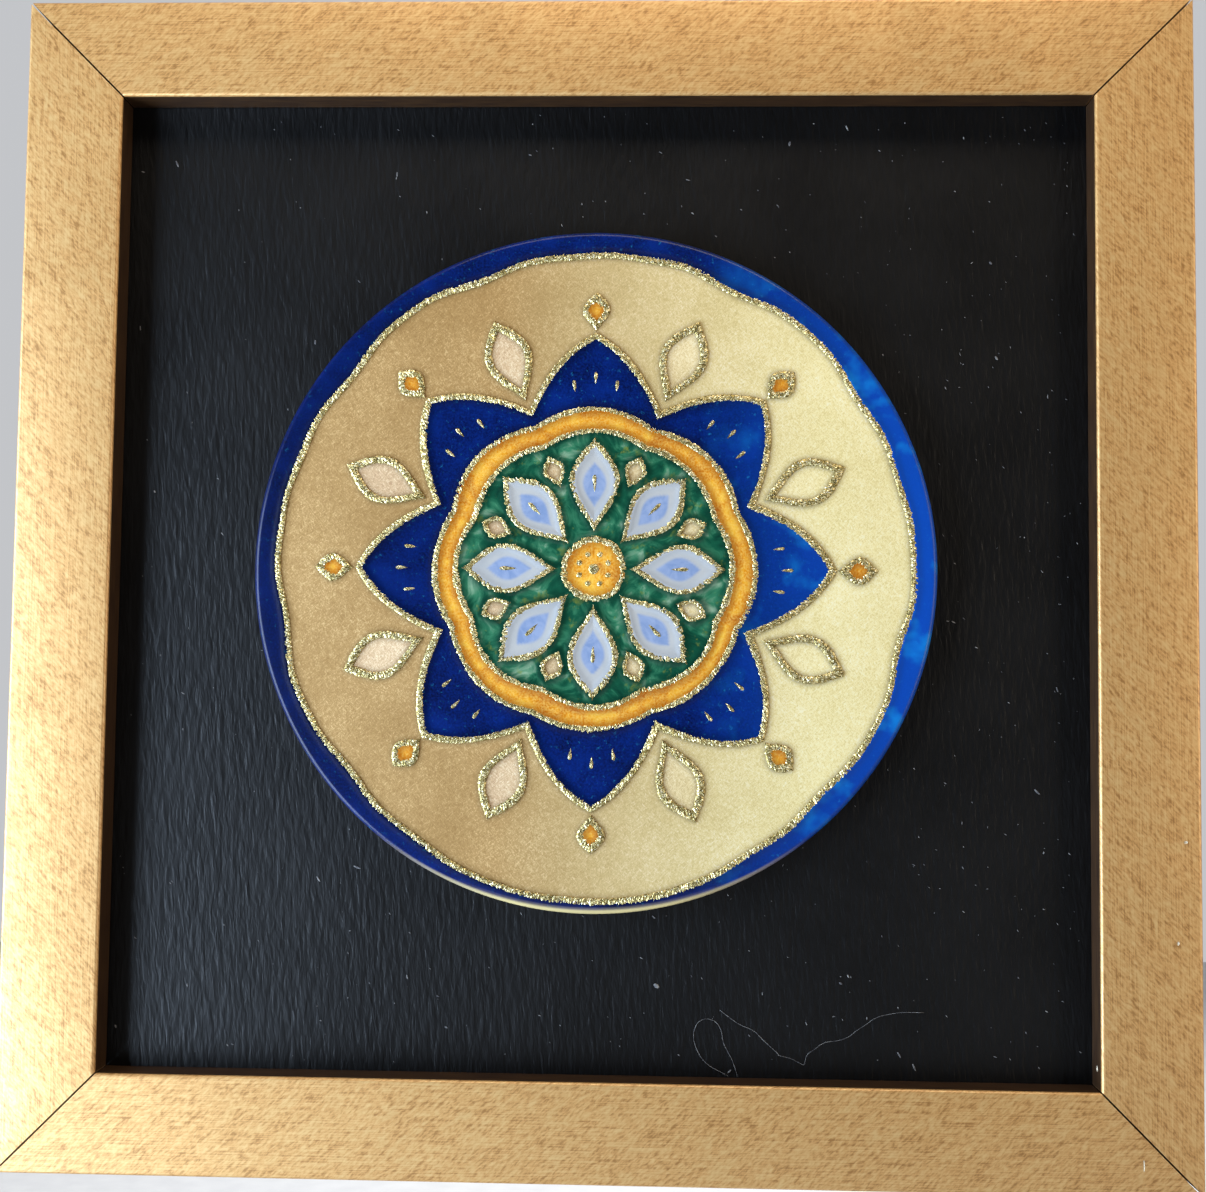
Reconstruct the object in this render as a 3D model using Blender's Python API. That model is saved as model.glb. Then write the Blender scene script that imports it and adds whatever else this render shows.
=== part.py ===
# Framed round ceramic: a mitred square frame, a black faced board and a disc with raised gold lines.
# Metres, +Z up, front towards -Y. The origin is the middle of the hanger's back face.
from math import cos, exp, pi, radians, sin, sqrt, tau

import bmesh
import bpy
from mathutils import Matrix, Vector

for old in list(bpy.data.objects):
    bpy.data.objects.remove(old, do_unlink=True)

MM = 0.001

# Moulding
FRAME_SIDE = 240.0 * MM  # outer side of the square
RAIL_WIDTH = 20.0 * MM  # face of the moulding, outer edge to opening
RAIL_DEPTH = 20.0 * MM  # front face to back
ARRIS = 0.7 * MM  # radius of the two front corners
BACK_CHAMFER = 0.6 * MM  # outer back corner
LIP_DEPTH = 6.8 * MM  # front face to the rebate
REBATE = 6.0 * MM  # how far the board reaches behind the lip
MITRE_GAP = 0.35 * MM  # open seam at each corner
TOUCH = 0.3 * MM  # left between pieces that touch

# Board and its facing
FACING_THICK = 0.8 * MM
BOARD_THICK = 2.7 * MM
BOARD_PLAY = 0.5 * MM  # to the rebate wall on each side

# Ceramic disc
DISC_DIAMETER = 139.0 * MM
DISC_THICK = 5.0 * MM
DISC_ARRIS = 0.9 * MM  # radius of the glazed front edge
DISC_BACK_CHAMFER = 0.6 * MM
DISC_RIGHT = -1.0 * MM  # centre of the disc from the centre of the opening
DISC_UP = 2.4 * MM

# Raised gold lines on the disc
LINE_WIDTH = 1.6 * MM
LINE_HEIGHT = 0.45 * MM
LINE_SPACE = 0.4 * MM  # least room between the feet of two lines
RIM_WIDTH = 5.0 * MM  # cobalt rim, disc edge to the wavy line
RIM_WAVE = 0.45 * MM  # unevenness of the wavy line
RIM_THINNING = 2.7 * MM  # how much of the rim is lost at the bottom
RIM_THIN_SPREAD = radians(32)
HAND_WOBBLE = 0.25 * MM  # unevenness of the other lines

# Rosette, as shares of its own radius
FOLDS = 8
ROSETTE_SHARE = 0.745  # of the ground inside the rim
NOTCH_SHARE = 0.71  # between two outer petals
BAND_OUTER_SHARE = 0.648
BAND_INNER_SHARE = 0.556
SCALLOP_SHARE = 0.03
HEART_SHARE = 0.125
PETAL_WIDTH_SHARE = 0.19
LEAF_BASE_SHARE = 0.8
LEAF_TIP_SHARE = 1.12
LEAF_WIDTH_SHARE = 0.17
DROP_LENGTH_SHARE = 0.115
DROP_WIDTH_SHARE = 0.085
PETAL_TAPER = 0.3
PETAL_POINT = 0.12  # how much the tip of an outer petal stands out
LENS_SKEW = 1.15  # over 1 moves the widest place of a pointed oval outwards

# Flat tabs that hold the board in
TAB_LENGTH = 20.0 * MM
TAB_WIDTH = 7.0 * MM
TAB_THICK = 0.6 * MM
TAB_GRIP = 4.0 * MM  # length inside the rail
TAB_SPACING = 110.0 * MM  # between the two tabs of a rail

# Sawtooth hanger and its pins
HANGER_LENGTH = 46.0 * MM
HANGER_HEIGHT = 10.0 * MM
HANGER_THICK = 0.8 * MM
HANGER_RISE = 1.5 * MM  # how far the bridge stands off its ends
BRIDGE_LENGTH = 28.0 * MM
JOGGLE = 2.0 * MM  # length of each slope
TOOTH_COUNT = 11
TOOTH_PITCH = 2.4 * MM
TOOTH_DEPTH = 1.5 * MM
TOOTH_LAND = 0.6 * MM  # flat left between two notches
PIN_DIAMETER = 1.4 * MM
PIN_LENGTH = 9.0 * MM
PIN_HEAD = 3.6 * MM
PIN_HEAD_THICK = 0.8 * MM
PIN_HEAD_TOP = 2.2 * MM  # flat on top of the rounded head
PIN_POINT = 0.4 * MM  # width of the blunt point
PIN_INSET = 3.5 * MM  # from the end of the hanger

# Smoothness of the faceted forms
ARRIS_STEPS = 3
DISC_STEPS = 144
BAND_STEPS = 96
HEART_STEPS = 32
LENS_STEPS = 24
TAB_STEPS = 6
PIN_STEPS = 12

# Places that follow from the sizes, in the frame's own coordinates: X right, Z up, Y back,
# with the middle of the rails' back plane at zero
HALF_SIDE = FRAME_SIDE / 2
OPENING = FRAME_SIDE - 2 * RAIL_WIDTH
FRONT = -RAIL_DEPTH
FACING_FRONT = FRONT + LIP_DEPTH + TOUCH
FACING_BACK = FACING_FRONT + FACING_THICK
BOARD_FRONT = FACING_BACK + TOUCH
BOARD_BACK = BOARD_FRONT + BOARD_THICK
BOARD_SIDE = OPENING + 2 * (REBATE - BOARD_PLAY)
DISC_RADIUS = DISC_DIAMETER / 2
DISC_BACK = FACING_FRONT - TOUCH
DISC_FRONT = DISC_BACK - DISC_THICK
REBATE_WALL = HALF_SIDE - RAIL_WIDTH + REBATE
TAB_FRONT = BOARD_BACK + TOUCH
HANGER_UP = HALF_SIDE - (RAIL_WIDTH - REBATE) / 2
HANGER_BACK = TOUCH + HANGER_RISE + HANGER_THICK
PIN_RIGHT = HANGER_LENGTH / 2 - PIN_INSET
PIN_HOLE = PIN_DIAMETER + 2 * TOUCH
HEAD_FRONT = TOUCH + HANGER_THICK + TOUCH
HALF_LINE = LINE_WIDTH / 2
GROUND_RADIUS = DISC_RADIUS - RIM_WIDTH
ROSETTE = GROUND_RADIUS * ROSETTE_SHARE
LENS_END = 1.5  # a pointed end needs this much more length for the same line width


def material(name, colour, roughness, metallic=0.0):
    made = bpy.data.materials.new(name)
    made.use_nodes = True
    shader = made.node_tree.nodes["Principled BSDF"]
    shader.inputs["Base Color"].default_value = (*colour, 1.0)
    shader.inputs["Roughness"].default_value = roughness
    shader.inputs["Metallic"].default_value = metallic
    return made


goldFoil = material("gold foil moulding", (0.62, 0.42, 0.20), 0.38, 0.85)
leatherette = material("black leatherette", (0.012, 0.013, 0.016), 0.5)
fibreboard = material("fibreboard", (0.30, 0.19, 0.11), 0.8)
enamelledCeramic = material("enamelled ceramic", (0.58, 0.44, 0.20), 0.3)
zincSteel = material("zinc plated steel", (0.55, 0.56, 0.58), 0.35, 0.9)
brassedSteel = material("brassed steel", (0.56, 0.42, 0.17), 0.35, 0.9)

frameCentre = bpy.data.objects.new("frame_centre", None)
bpy.context.scene.collection.objects.link(frameCentre)
frameCentre.location = (0.0, -HANGER_BACK, -HANGER_UP)


def place(name, mesh, finish, turn=0.0, parent=frameCentre):
    piece = bpy.data.objects.new(name, mesh)
    bpy.context.scene.collection.objects.link(piece)
    piece.parent = parent
    piece.rotation_euler = (0.0, turn, 0.0)
    if finish is not None and not mesh.materials:
        mesh.materials.append(finish)
    return piece


def meshFrom(name, shape):
    bmesh.ops.recalc_face_normals(shape, faces=shape.faces)
    mesh = bpy.data.meshes.new(name)
    shape.to_mesh(mesh)
    shape.free()
    return mesh


def hideCutter(cutter):
    cutter.hide_render = True
    cutter.display_type = "WIRE"


def combine(piece, other, operation):
    step = piece.modifiers.new(operation.lower(), "BOOLEAN")
    step.operation = operation
    step.object = other
    step.solver = "EXACT"


def bridge(shape, loops):
    # rings of vertices with the same count, joined by faces in order
    rings = []
    for points in loops:
        rings.append([shape.verts.new(point) for point in points])
    for first, second in zip(rings, rings[1:]):
        for i in range(len(first)):
            j = (i + 1) % len(first)
            shape.faces.new((first[i], first[j], second[j], second[i]))
    return rings


def loft(shape, loops):
    rings = bridge(shape, loops)
    shape.faces.new(rings[0])
    shape.faces.new(reversed(rings[-1]))


def box(shape, low, high):
    corners = [(low[0], low[2]), (high[0], low[2]), (high[0], high[2]), (low[0], high[2])]
    loft(shape, [[(x, y, z) for x, z in corners] for y in (low[1], high[1])])


def rod(shape, x, z, stations):
    # stations are pairs of y and radius
    angles = [tau * i / PIN_STEPS for i in range(PIN_STEPS)]
    loft(shape, [[(x + r * cos(a), y, z + r * sin(a)) for a in angles] for y, r in stations])


# Rails
def railProfile():
    # pairs of distance from the outer edge and depth from the front face
    steps = [pi / 2 * i / ARRIS_STEPS for i in range(ARRIS_STEPS + 1)]
    outer = [(ARRIS - ARRIS * cos(a), ARRIS - ARRIS * sin(a)) for a in steps]
    inner = [(RAIL_WIDTH - ARRIS + ARRIS * sin(a), ARRIS - ARRIS * cos(a)) for a in steps]
    land = RAIL_WIDTH - REBATE
    back = [
        (RAIL_WIDTH, LIP_DEPTH),
        (land, LIP_DEPTH),
        (land, RAIL_DEPTH),
        (BACK_CHAMFER, RAIL_DEPTH),
        (0.0, RAIL_DEPTH - BACK_CHAMFER),
    ]
    return outer + inner + back


def railMesh(name):
    shape = bmesh.new()
    ends = []
    for side in (-1, 1):
        loop = []
        for inward, depth in railProfile():
            reach = HALF_SIDE - inward - MITRE_GAP / sqrt(2)
            loop.append((side * reach, FRONT + depth, HALF_SIDE - inward))
        ends.append(loop)
    loft(shape, ends)
    return meshFrom(name, shape)


def slotCutter(name, withPinHoles):
    shape = bmesh.new()
    for side in (-1, 1):
        middle = side * TAB_SPACING / 2
        half = TAB_WIDTH / 2 + TOUCH
        low = (middle - half, TAB_FRONT - TOUCH, REBATE_WALL - TAB_GRIP / 2)
        high = (middle + half, TAB_FRONT + TAB_THICK + TOUCH, REBATE_WALL + TAB_GRIP + TOUCH)
        box(shape, low, high)
        if withPinHoles:
            radius = PIN_HOLE / 2
            rod(shape, side * PIN_RIGHT, HANGER_UP, [(-PIN_LENGTH - TOUCH, radius), (PIN_LENGTH, radius)])
    return meshFrom(name, shape)


def tabMesh():
    # drawn for the top rail, with its grip end up; the free end is a half round
    shape = bmesh.new()
    half = TAB_WIDTH / 2
    top = REBATE_WALL + TAB_GRIP
    roundUp = top - TAB_LENGTH + half
    outline = [(-half, top), (half, top)]
    for i in range(TAB_STEPS + 1):
        a = pi * i / TAB_STEPS
        outline.append((half * cos(a), roundUp - half * sin(a)))
    loft(shape, [[(x, y, z) for x, z in outline] for y in (TAB_FRONT, TAB_FRONT + TAB_THICK)])
    for vertex in shape.verts:
        vertex.co.z -= REBATE_WALL
    return meshFrom("board tab", shape)


def makeRails():
    tabs = tabMesh()
    for i, side in enumerate(("top", "right", "bottom", "left")):
        turn = i * pi / 2
        rail = place(side + "_rail", railMesh(side + " rail"), goldFoil, turn)
        cutter = place(side + "_slots", slotCutter(side + " slots", side == "top"), None, parent=rail)
        hideCutter(cutter)
        combine(rail, cutter, "DIFFERENCE")
        for j, along in enumerate((-TAB_SPACING / 2, TAB_SPACING / 2)):
            tab = place("board_tab_" + side + "_" + str(j + 1), tabs, zincSteel, turn)
            tab.location = Matrix.Rotation(turn, 3, "Y") @ Vector((along, 0.0, REBATE_WALL))


# Board and facing
def makePanel(name, front, back, finish):
    shape = bmesh.new()
    half = BOARD_SIDE / 2
    box(shape, (-half, front, -half), (half, back, half))
    place(name, meshFrom(name.replace("_", " "), shape), finish)


# Closed curves of the painted design, as X and Z from the middle of the disc
def petalPhase(angle):
    # 0 on the middle of an outer petal, 1 in the notch beside it
    step = tau / FOLDS
    return abs((angle / step + 0.5) % 1.0 - 0.5) * 2


def scallop(angle):
    return cos(pi / 2 * petalPhase(angle))


def handWobble(angle, phase):
    return HAND_WOBBLE * (sin(3 * angle + phase) + 0.6 * sin(7 * angle + 2 * phase))


def rimLine(angle):
    away = (angle + pi / 2 + pi) % tau - pi
    thinning = exp(-((away / RIM_THIN_SPREAD) ** 2))
    wave = sin(9 * angle + 0.6) + 0.8 * sin(14 * angle + 2.1) + 0.45 * sin(23 * angle + 4.0)
    return GROUND_RADIUS + RIM_THINNING * thinning + RIM_WAVE * wave * (1 - 0.8 * thinning)


def petalEdge(angle):
    s = petalPhase(angle)
    lobe = cos(pi / 2 * s) * (1 - PETAL_TAPER * s) + PETAL_POINT * (1 - s) ** 4
    lobe /= 1 + PETAL_POINT
    return ROSETTE * (NOTCH_SHARE + (1 - NOTCH_SHARE) * lobe) + handWobble(angle, 0.4)


def bandOuter(angle):
    return ROSETTE * (BAND_OUTER_SHARE + SCALLOP_SHARE * scallop(angle)) + handWobble(angle, 1.7)


def bandInner(angle):
    return ROSETTE * (BAND_INNER_SHARE + SCALLOP_SHARE * scallop(angle)) + handWobble(angle, 2.9)


def heartEdge(angle):
    return ROSETTE * HEART_SHARE + 0.3 * handWobble(angle, 4.2)


def roundLoop(radiusAt, offset, count):
    points = []
    small = 0.001
    for i in range(count):
        angle = pi / 2 + tau * i / count
        radius = radiusAt(angle)
        slope = (radiusAt(angle + small) - radiusAt(angle - small)) / (2 * small * radius)
        radius += offset * sqrt(1 + slope**2)
        points.append((radius * cos(angle), radius * sin(angle)))
    return points


def lensLoop(angle, base, tip, width, offset, count):
    # a pointed oval that lies along a radius, widest a little beyond its middle
    base -= offset * LENS_END
    tip += offset * LENS_END
    half = width / 2 + offset
    points = []
    for i in range(count):
        turn = tau * i / count
        s = (1 - cos(turn)) / 2
        across = half * sin(pi * s**LENS_SKEW) * (1 if turn <= pi else -1)
        along = base + (tip - base) * s
        points.append((along * cos(angle) - across * sin(angle), along * sin(angle) + across * cos(angle)))
    return points


def ridge(shape, loopAt):
    # a raised line: returns the foot on its outer side and the foot on its inner side
    rows = []
    for offset, height in ((HALF_LINE, 0.0), (0.0, LINE_HEIGHT), (-HALF_LINE, 0.0)):
        rows.append([(x, DISC_FRONT - height, z) for x, z in loopAt(offset)])
    outer, _, inner = bridge(shape, rows)
    return outer, inner


def roundRidge(shape, radiusAt, count):
    return ridge(shape, lambda offset: roundLoop(radiusAt, offset, count))


def lensRidge(shape, angle, base, tip, widthShare):
    width = ROSETTE * widthShare
    return ridge(shape, lambda offset: lensLoop(angle, base, tip, width, offset, LENS_STEPS))


def fillFlat(shape, *rings):
    # the flat surface inside the first ring and outside the others
    edges = []
    for ring in rings:
        edges += [shape.edges.get((ring[i - 1], ring[i])) for i in range(len(ring))]
    bmesh.ops.triangle_fill(shape, use_beauty=True, edges=edges)


def addDesign(shape, discEdge):
    room = (1 + LENS_END) * HALF_LINE + LINE_SPACE
    petals, leaves, drops = [], [], []
    for k in range(FOLDS):
        straight = pi / 2 + tau * k / FOLDS
        between = straight + pi / FOLDS
        petalBase = heartEdge(straight) + room
        petalTip = bandInner(straight) - room
        petals.append(lensRidge(shape, straight, petalBase, petalTip, PETAL_WIDTH_SHARE))
        leafBase = ROSETTE * LEAF_BASE_SHARE
        leafTip = ROSETTE * LEAF_TIP_SHARE
        leaves.append(lensRidge(shape, between, leafBase, leafTip, LEAF_WIDTH_SHARE))
        dropBase = petalEdge(straight) + room
        dropTip = dropBase + ROSETTE * DROP_LENGTH_SHARE
        drops.append(lensRidge(shape, straight, dropBase, dropTip, DROP_WIDTH_SHARE))
    rim = roundRidge(shape, rimLine, DISC_STEPS)
    edge = roundRidge(shape, petalEdge, DISC_STEPS)
    outerBand = roundRidge(shape, bandOuter, BAND_STEPS)
    innerBand = roundRidge(shape, bandInner, BAND_STEPS)
    heart = roundRidge(shape, heartEdge, HEART_STEPS)
    fillFlat(shape, discEdge, rim[0])
    fillFlat(shape, rim[1], edge[0], *[outer for outer, _ in leaves + drops])
    fillFlat(shape, edge[1], outerBand[0])
    fillFlat(shape, outerBand[1], innerBand[0])
    fillFlat(shape, innerBand[1], heart[0], *[outer for outer, _ in petals])
    for _, inner in petals + leaves + drops + [heart]:
        fillFlat(shape, inner)


# Ceramic disc
def makeDisc():
    shape = bmesh.new()
    stations = [(DISC_BACK, DISC_RADIUS - DISC_BACK_CHAMFER), (DISC_BACK - DISC_BACK_CHAMFER, DISC_RADIUS)]
    for i in range(ARRIS_STEPS + 1):
        a = pi / 2 * i / ARRIS_STEPS
        depth = DISC_FRONT + DISC_ARRIS * (1 - sin(a))
        stations.append((depth, DISC_RADIUS - DISC_ARRIS * (1 - cos(a))))
    angles = [tau * i / DISC_STEPS for i in range(DISC_STEPS)]
    rings = bridge(shape, [[(r * cos(a), y, r * sin(a)) for a in angles] for y, r in stations])
    shape.faces.new(rings[0])
    addDesign(shape, rings[-1])
    disc = place("ceramic_disc", meshFrom("ceramic disc", shape), enamelledCeramic)
    disc.location = (DISC_RIGHT, 0.0, DISC_UP)
    disc.data.shade_smooth()
    disc.data.set_sharp_from_angle(angle=radians(20))


# Hanger and pins
def hangerMesh():
    shape = bmesh.new()
    bend = BRIDGE_LENGTH / 2
    half = [(HANGER_LENGTH / 2, TOUCH), (bend + JOGGLE, TOUCH), (bend, TOUCH + HANGER_RISE)]
    near = [(-x, y) for x, y in half] + [(x, y) for x, y in reversed(half)]
    outline = near + [(x, y + HANGER_THICK) for x, y in reversed(near)]
    low = HANGER_UP - HANGER_HEIGHT / 2
    loft(shape, [[(x, y, z) for x, y in outline] for z in (low, low + HANGER_HEIGHT)])
    return meshFrom("sawtooth hanger", shape)


def hangerCutter():
    shape = bmesh.new()
    low = HANGER_UP - HANGER_HEIGHT / 2
    notch = (TOOTH_PITCH - TOOTH_LAND) / 2
    for i in range(TOOTH_COUNT):
        x = (i - (TOOTH_COUNT - 1) / 2) * TOOTH_PITCH
        outline = [(x, low + TOOTH_DEPTH), (x - notch, low), (x - notch, low - TOOTH_DEPTH)]
        outline += [(x + notch, low - TOOTH_DEPTH), (x + notch, low)]
        loft(shape, [[(px, y, pz) for px, pz in outline] for y in (0.0, 2 * HANGER_BACK)])
    for side in (-1, 1):
        rod(shape, side * PIN_RIGHT, HANGER_UP, [(0.0, PIN_HOLE / 2), (HANGER_BACK, PIN_HOLE / 2)])
    return meshFrom("hanger notches", shape)


def pinMesh():
    shape = bmesh.new()
    stations = [
        (-PIN_LENGTH, PIN_POINT / 2),
        (-PIN_LENGTH + PIN_DIAMETER, PIN_DIAMETER / 2),
        (HEAD_FRONT, PIN_DIAMETER / 2),
        (HEAD_FRONT, PIN_HEAD / 2),
        (HEAD_FRONT + PIN_HEAD_THICK / 2, PIN_HEAD / 2),
        (HEAD_FRONT + PIN_HEAD_THICK, PIN_HEAD_TOP / 2),
    ]
    rod(shape, 0.0, 0.0, stations)
    return meshFrom("hanger pin", shape)


def makeHanger():
    hanger = place("sawtooth_hanger", hangerMesh(), brassedSteel)
    cutter = place("hanger_notches", hangerCutter(), None, parent=hanger)
    hideCutter(cutter)
    combine(hanger, cutter, "DIFFERENCE")
    pins = pinMesh()
    for side, x in (("left", -PIN_RIGHT), ("right", PIN_RIGHT)):
        pin = place("hanger_pin_" + side, pins, brassedSteel)
        pin.location = (x, 0.0, HANGER_UP)


makeRails()
makePanel("leatherette_facing", FACING_FRONT, FACING_BACK, leatherette)
makePanel("backing_board", BOARD_FRONT, BOARD_BACK, fibreboard)
makeDisc()
makeHanger()
bpy.context.view_layer.update()
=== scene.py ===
from math import cos, pi, radians, sin, sqrt, tau

import bmesh
import bpy
import numpy as np
from mathutils import Matrix, Vector, kdtree, noise


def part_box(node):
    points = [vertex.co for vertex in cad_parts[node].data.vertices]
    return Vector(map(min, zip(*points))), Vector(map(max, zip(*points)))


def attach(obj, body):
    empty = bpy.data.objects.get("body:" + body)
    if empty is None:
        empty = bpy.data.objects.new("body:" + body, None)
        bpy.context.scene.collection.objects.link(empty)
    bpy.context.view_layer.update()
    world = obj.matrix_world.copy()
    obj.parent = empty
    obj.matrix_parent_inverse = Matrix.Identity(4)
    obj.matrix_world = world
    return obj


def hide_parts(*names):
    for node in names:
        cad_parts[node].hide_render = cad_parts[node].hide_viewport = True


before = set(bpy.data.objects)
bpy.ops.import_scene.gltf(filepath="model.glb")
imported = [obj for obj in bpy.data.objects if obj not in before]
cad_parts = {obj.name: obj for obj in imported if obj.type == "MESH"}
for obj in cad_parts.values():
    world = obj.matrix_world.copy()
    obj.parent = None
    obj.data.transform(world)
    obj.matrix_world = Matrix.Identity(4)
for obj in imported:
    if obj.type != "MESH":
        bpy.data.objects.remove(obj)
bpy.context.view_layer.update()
mm = 0.001
slack = 0.01 * mm  # when faces and edges are picked by their place
print("frame loaded,", len(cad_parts), "nodes")

# Places read from the frame
topLow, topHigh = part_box("top_rail")
facingLow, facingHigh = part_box("leatherette_facing")
discLow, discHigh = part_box("ceramic_disc")
halfSide = (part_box("right_rail")[1].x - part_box("left_rail")[0].x) / 2
railWidth = topHigh.z - topLow.z
railFront, railBack = topLow.y, topHigh.y
frameCentre = Vector((0.0, 0.0, topHigh.z - halfSide))
opening = 2 * (halfSide - railWidth)
discCentre = (discLow + discHigh) / 2
discRadius = (discHigh.x - discLow.x) / 2


# Small helpers for modelling by operators
def pick(*objs):
    bpy.ops.object.select_all(action="DESELECT")
    for obj in objs:
        obj.select_set(True)
    bpy.context.view_layer.objects.active = objs[0]


def edit(obj, kind="FACE"):
    pick(obj)
    bpy.ops.object.mode_set(mode="EDIT")
    bpy.ops.mesh.select_mode(type=kind)
    bpy.ops.mesh.select_all(action="DESELECT")


def choose(obj, kind, test):
    # in edit mode: selects the faces or edges that pass the test, by their place or normal
    shape = bmesh.from_edit_mesh(obj.data)
    for part in shape.faces if kind == "FACE" else shape.edges:
        part.select_set(test(part))
    bmesh.update_edit_mesh(obj.data)


def middle(edge):
    return (edge.verts[0].co + edge.verts[1].co) / 2


def alongX(edge):
    return abs((edge.verts[0].co - edge.verts[1].co).normalized().x) > 0.99


def leaveEdit():
    bpy.ops.object.mode_set(mode="OBJECT")


def closeUp(obj):
    # merges doubles and turns every face outwards
    edit(obj)
    bpy.ops.mesh.select_all(action="SELECT")
    bpy.ops.mesh.remove_doubles(threshold=0.001 * mm)
    bpy.ops.mesh.normals_make_consistent(inside=False)
    leaveEdit()


def settle(obj):
    # the place goes into the mesh, so the object sits at the origin
    pick(obj)
    bpy.ops.object.transform_apply(location=True, rotation=True, scale=True)


def finishWith(obj, kind, **settings):
    pick(obj)
    step = obj.modifiers.new(kind.lower(), kind)
    for name, value in settings.items():
        setattr(step, name, value)
    bpy.ops.object.modifier_apply(modifier=step.name)


def smooth(obj, angle=radians(30)):
    pick(obj)
    bpy.ops.object.shade_smooth_by_angle(angle=angle)


def show(obj):
    bpy.context.scene.collection.objects.link(obj)
    return obj


def discard(obj):
    bpy.data.objects.remove(obj, do_unlink=True)


def twin(obj, name):
    made = obj.copy()
    made.data = obj.data.copy()
    made.name = name
    return show(made)


def join(name, objs):
    pick(*objs)
    if len(objs) > 1:
        bpy.ops.object.join()
    objs[0].name = name
    objs[0].data.name = name
    return objs[0]


def newObject(name, points, faces, edges=()):
    mesh = bpy.data.meshes.new(name)
    mesh.from_pydata(points, list(edges), faces)
    return show(bpy.data.objects.new(name, mesh))


def block(place, size):
    bpy.ops.mesh.primitive_cube_add(size=1, location=place, scale=size)
    settle(bpy.context.object)
    return bpy.context.object


def turned(name, stations, centre, steps):
    # a lathe: pairs of y and radius, spun round the Y axis through centre
    chain = [(centre.x + r, y, centre.z) for y, r in stations]
    made = newObject(name, chain, [], [(i, i + 1) for i in range(len(chain) - 1)])
    edit(made, "VERT")
    bpy.ops.mesh.select_all(action="SELECT")
    bpy.ops.mesh.spin(steps=steps, angle=tau, center=centre, axis=(0, 1, 0))
    leaveEdit()
    closeUp(made)
    return made


def readPoints(mesh):
    flat = np.empty(len(mesh.vertices) * 3)
    mesh.vertices.foreach_get("co", flat)
    return flat.reshape(-1, 3)


def writePoints(mesh, points):
    mesh.vertices.foreach_set("co", points.astype(np.float32).ravel())
    mesh.update()


def addAttribute(mesh, name, values):
    made = mesh.attributes.new(name, "FLOAT", "POINT")
    made.data.foreach_set("value", np.asarray(values, np.float32))


# Small helpers for materials
def linear(tone):
    # sRGB hex to linear colour
    parts = [int(tone[i : i + 2], 16) / 255 for i in (1, 3, 5)]
    return (*[c / 12.92 if c <= 0.04045 else ((c + 0.055) / 1.055) ** 2.4 for c in parts], 1.0)


def feed(tree, node, inputs):
    # a socket takes a plain value, an output, or the first output of another node
    for key, value in dict(inputs).items():
        if isinstance(value, bpy.types.Node):
            value = value.outputs[0]
        if isinstance(value, bpy.types.NodeSocket):
            tree.links.new(value, node.inputs[key])
        else:
            node.inputs[key].default_value = value


def add(tree, kind, inputs=(), stops=(), **settings):
    made = tree.nodes.new("ShaderNode" + kind)
    for name, value in settings.items():
        setattr(made, name, value)
    feed(tree, made, inputs)
    for i, (place, tone) in enumerate(stops):
        if i > 1:
            made.color_ramp.elements.new(place)
        made.color_ramp.elements[i].position = place
        made.color_ramp.elements[i].color = linear(tone)
    return made


def newMaterial(name, sockets):
    made = bpy.data.materials.new(name)
    made.use_nodes = True
    shader = made.node_tree.nodes["Principled BSDF"]
    feed(made.node_tree, shader, sockets)
    return made, made.node_tree, shader


def patternAt(tree, size, turn=0.0, stretch=(1.0, 1.0, 1.0)):
    # coordinates in which one unit is size millimetres, turned about Y first and then stretched
    source = add(tree, "TexCoord").outputs["Object"]
    turnedTo = add(tree, "Mapping", {"Vector": source, "Rotation": (0, turn, 0)})
    scale = tuple(1 / (size * mm * s) for s in stretch)
    return add(tree, "Mapping", {"Vector": turnedTo, "Scale": scale})


# Gilt moulding: hot-stamped gold foil on MDF, satin, with rubbed diagonal mottling and hairline streaks
giltFoilLook = {
    "deep": "#A0733C", "middle": "#CB9B5D", "pale": "#DAB477",
    # length, width, distortion: brown flecks, the clusters that they lie in, hairlines along the rail
    "flecks": (1.5 * mm, 0.5 * mm, 0.3), "clusters": (4.8 * mm, 2.0 * mm, 0.3),
    "streaks": (12.0 * mm, 0.28 * mm, 0.0),
    "slant": radians(40), "clusterShare": 0.6, "streakShare": 0.7, "glossiest": 0.44, "dullest": 0.54,
    "bumpHeight": 0.04 * mm, "bumpStrength": 0.08,
}


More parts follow.
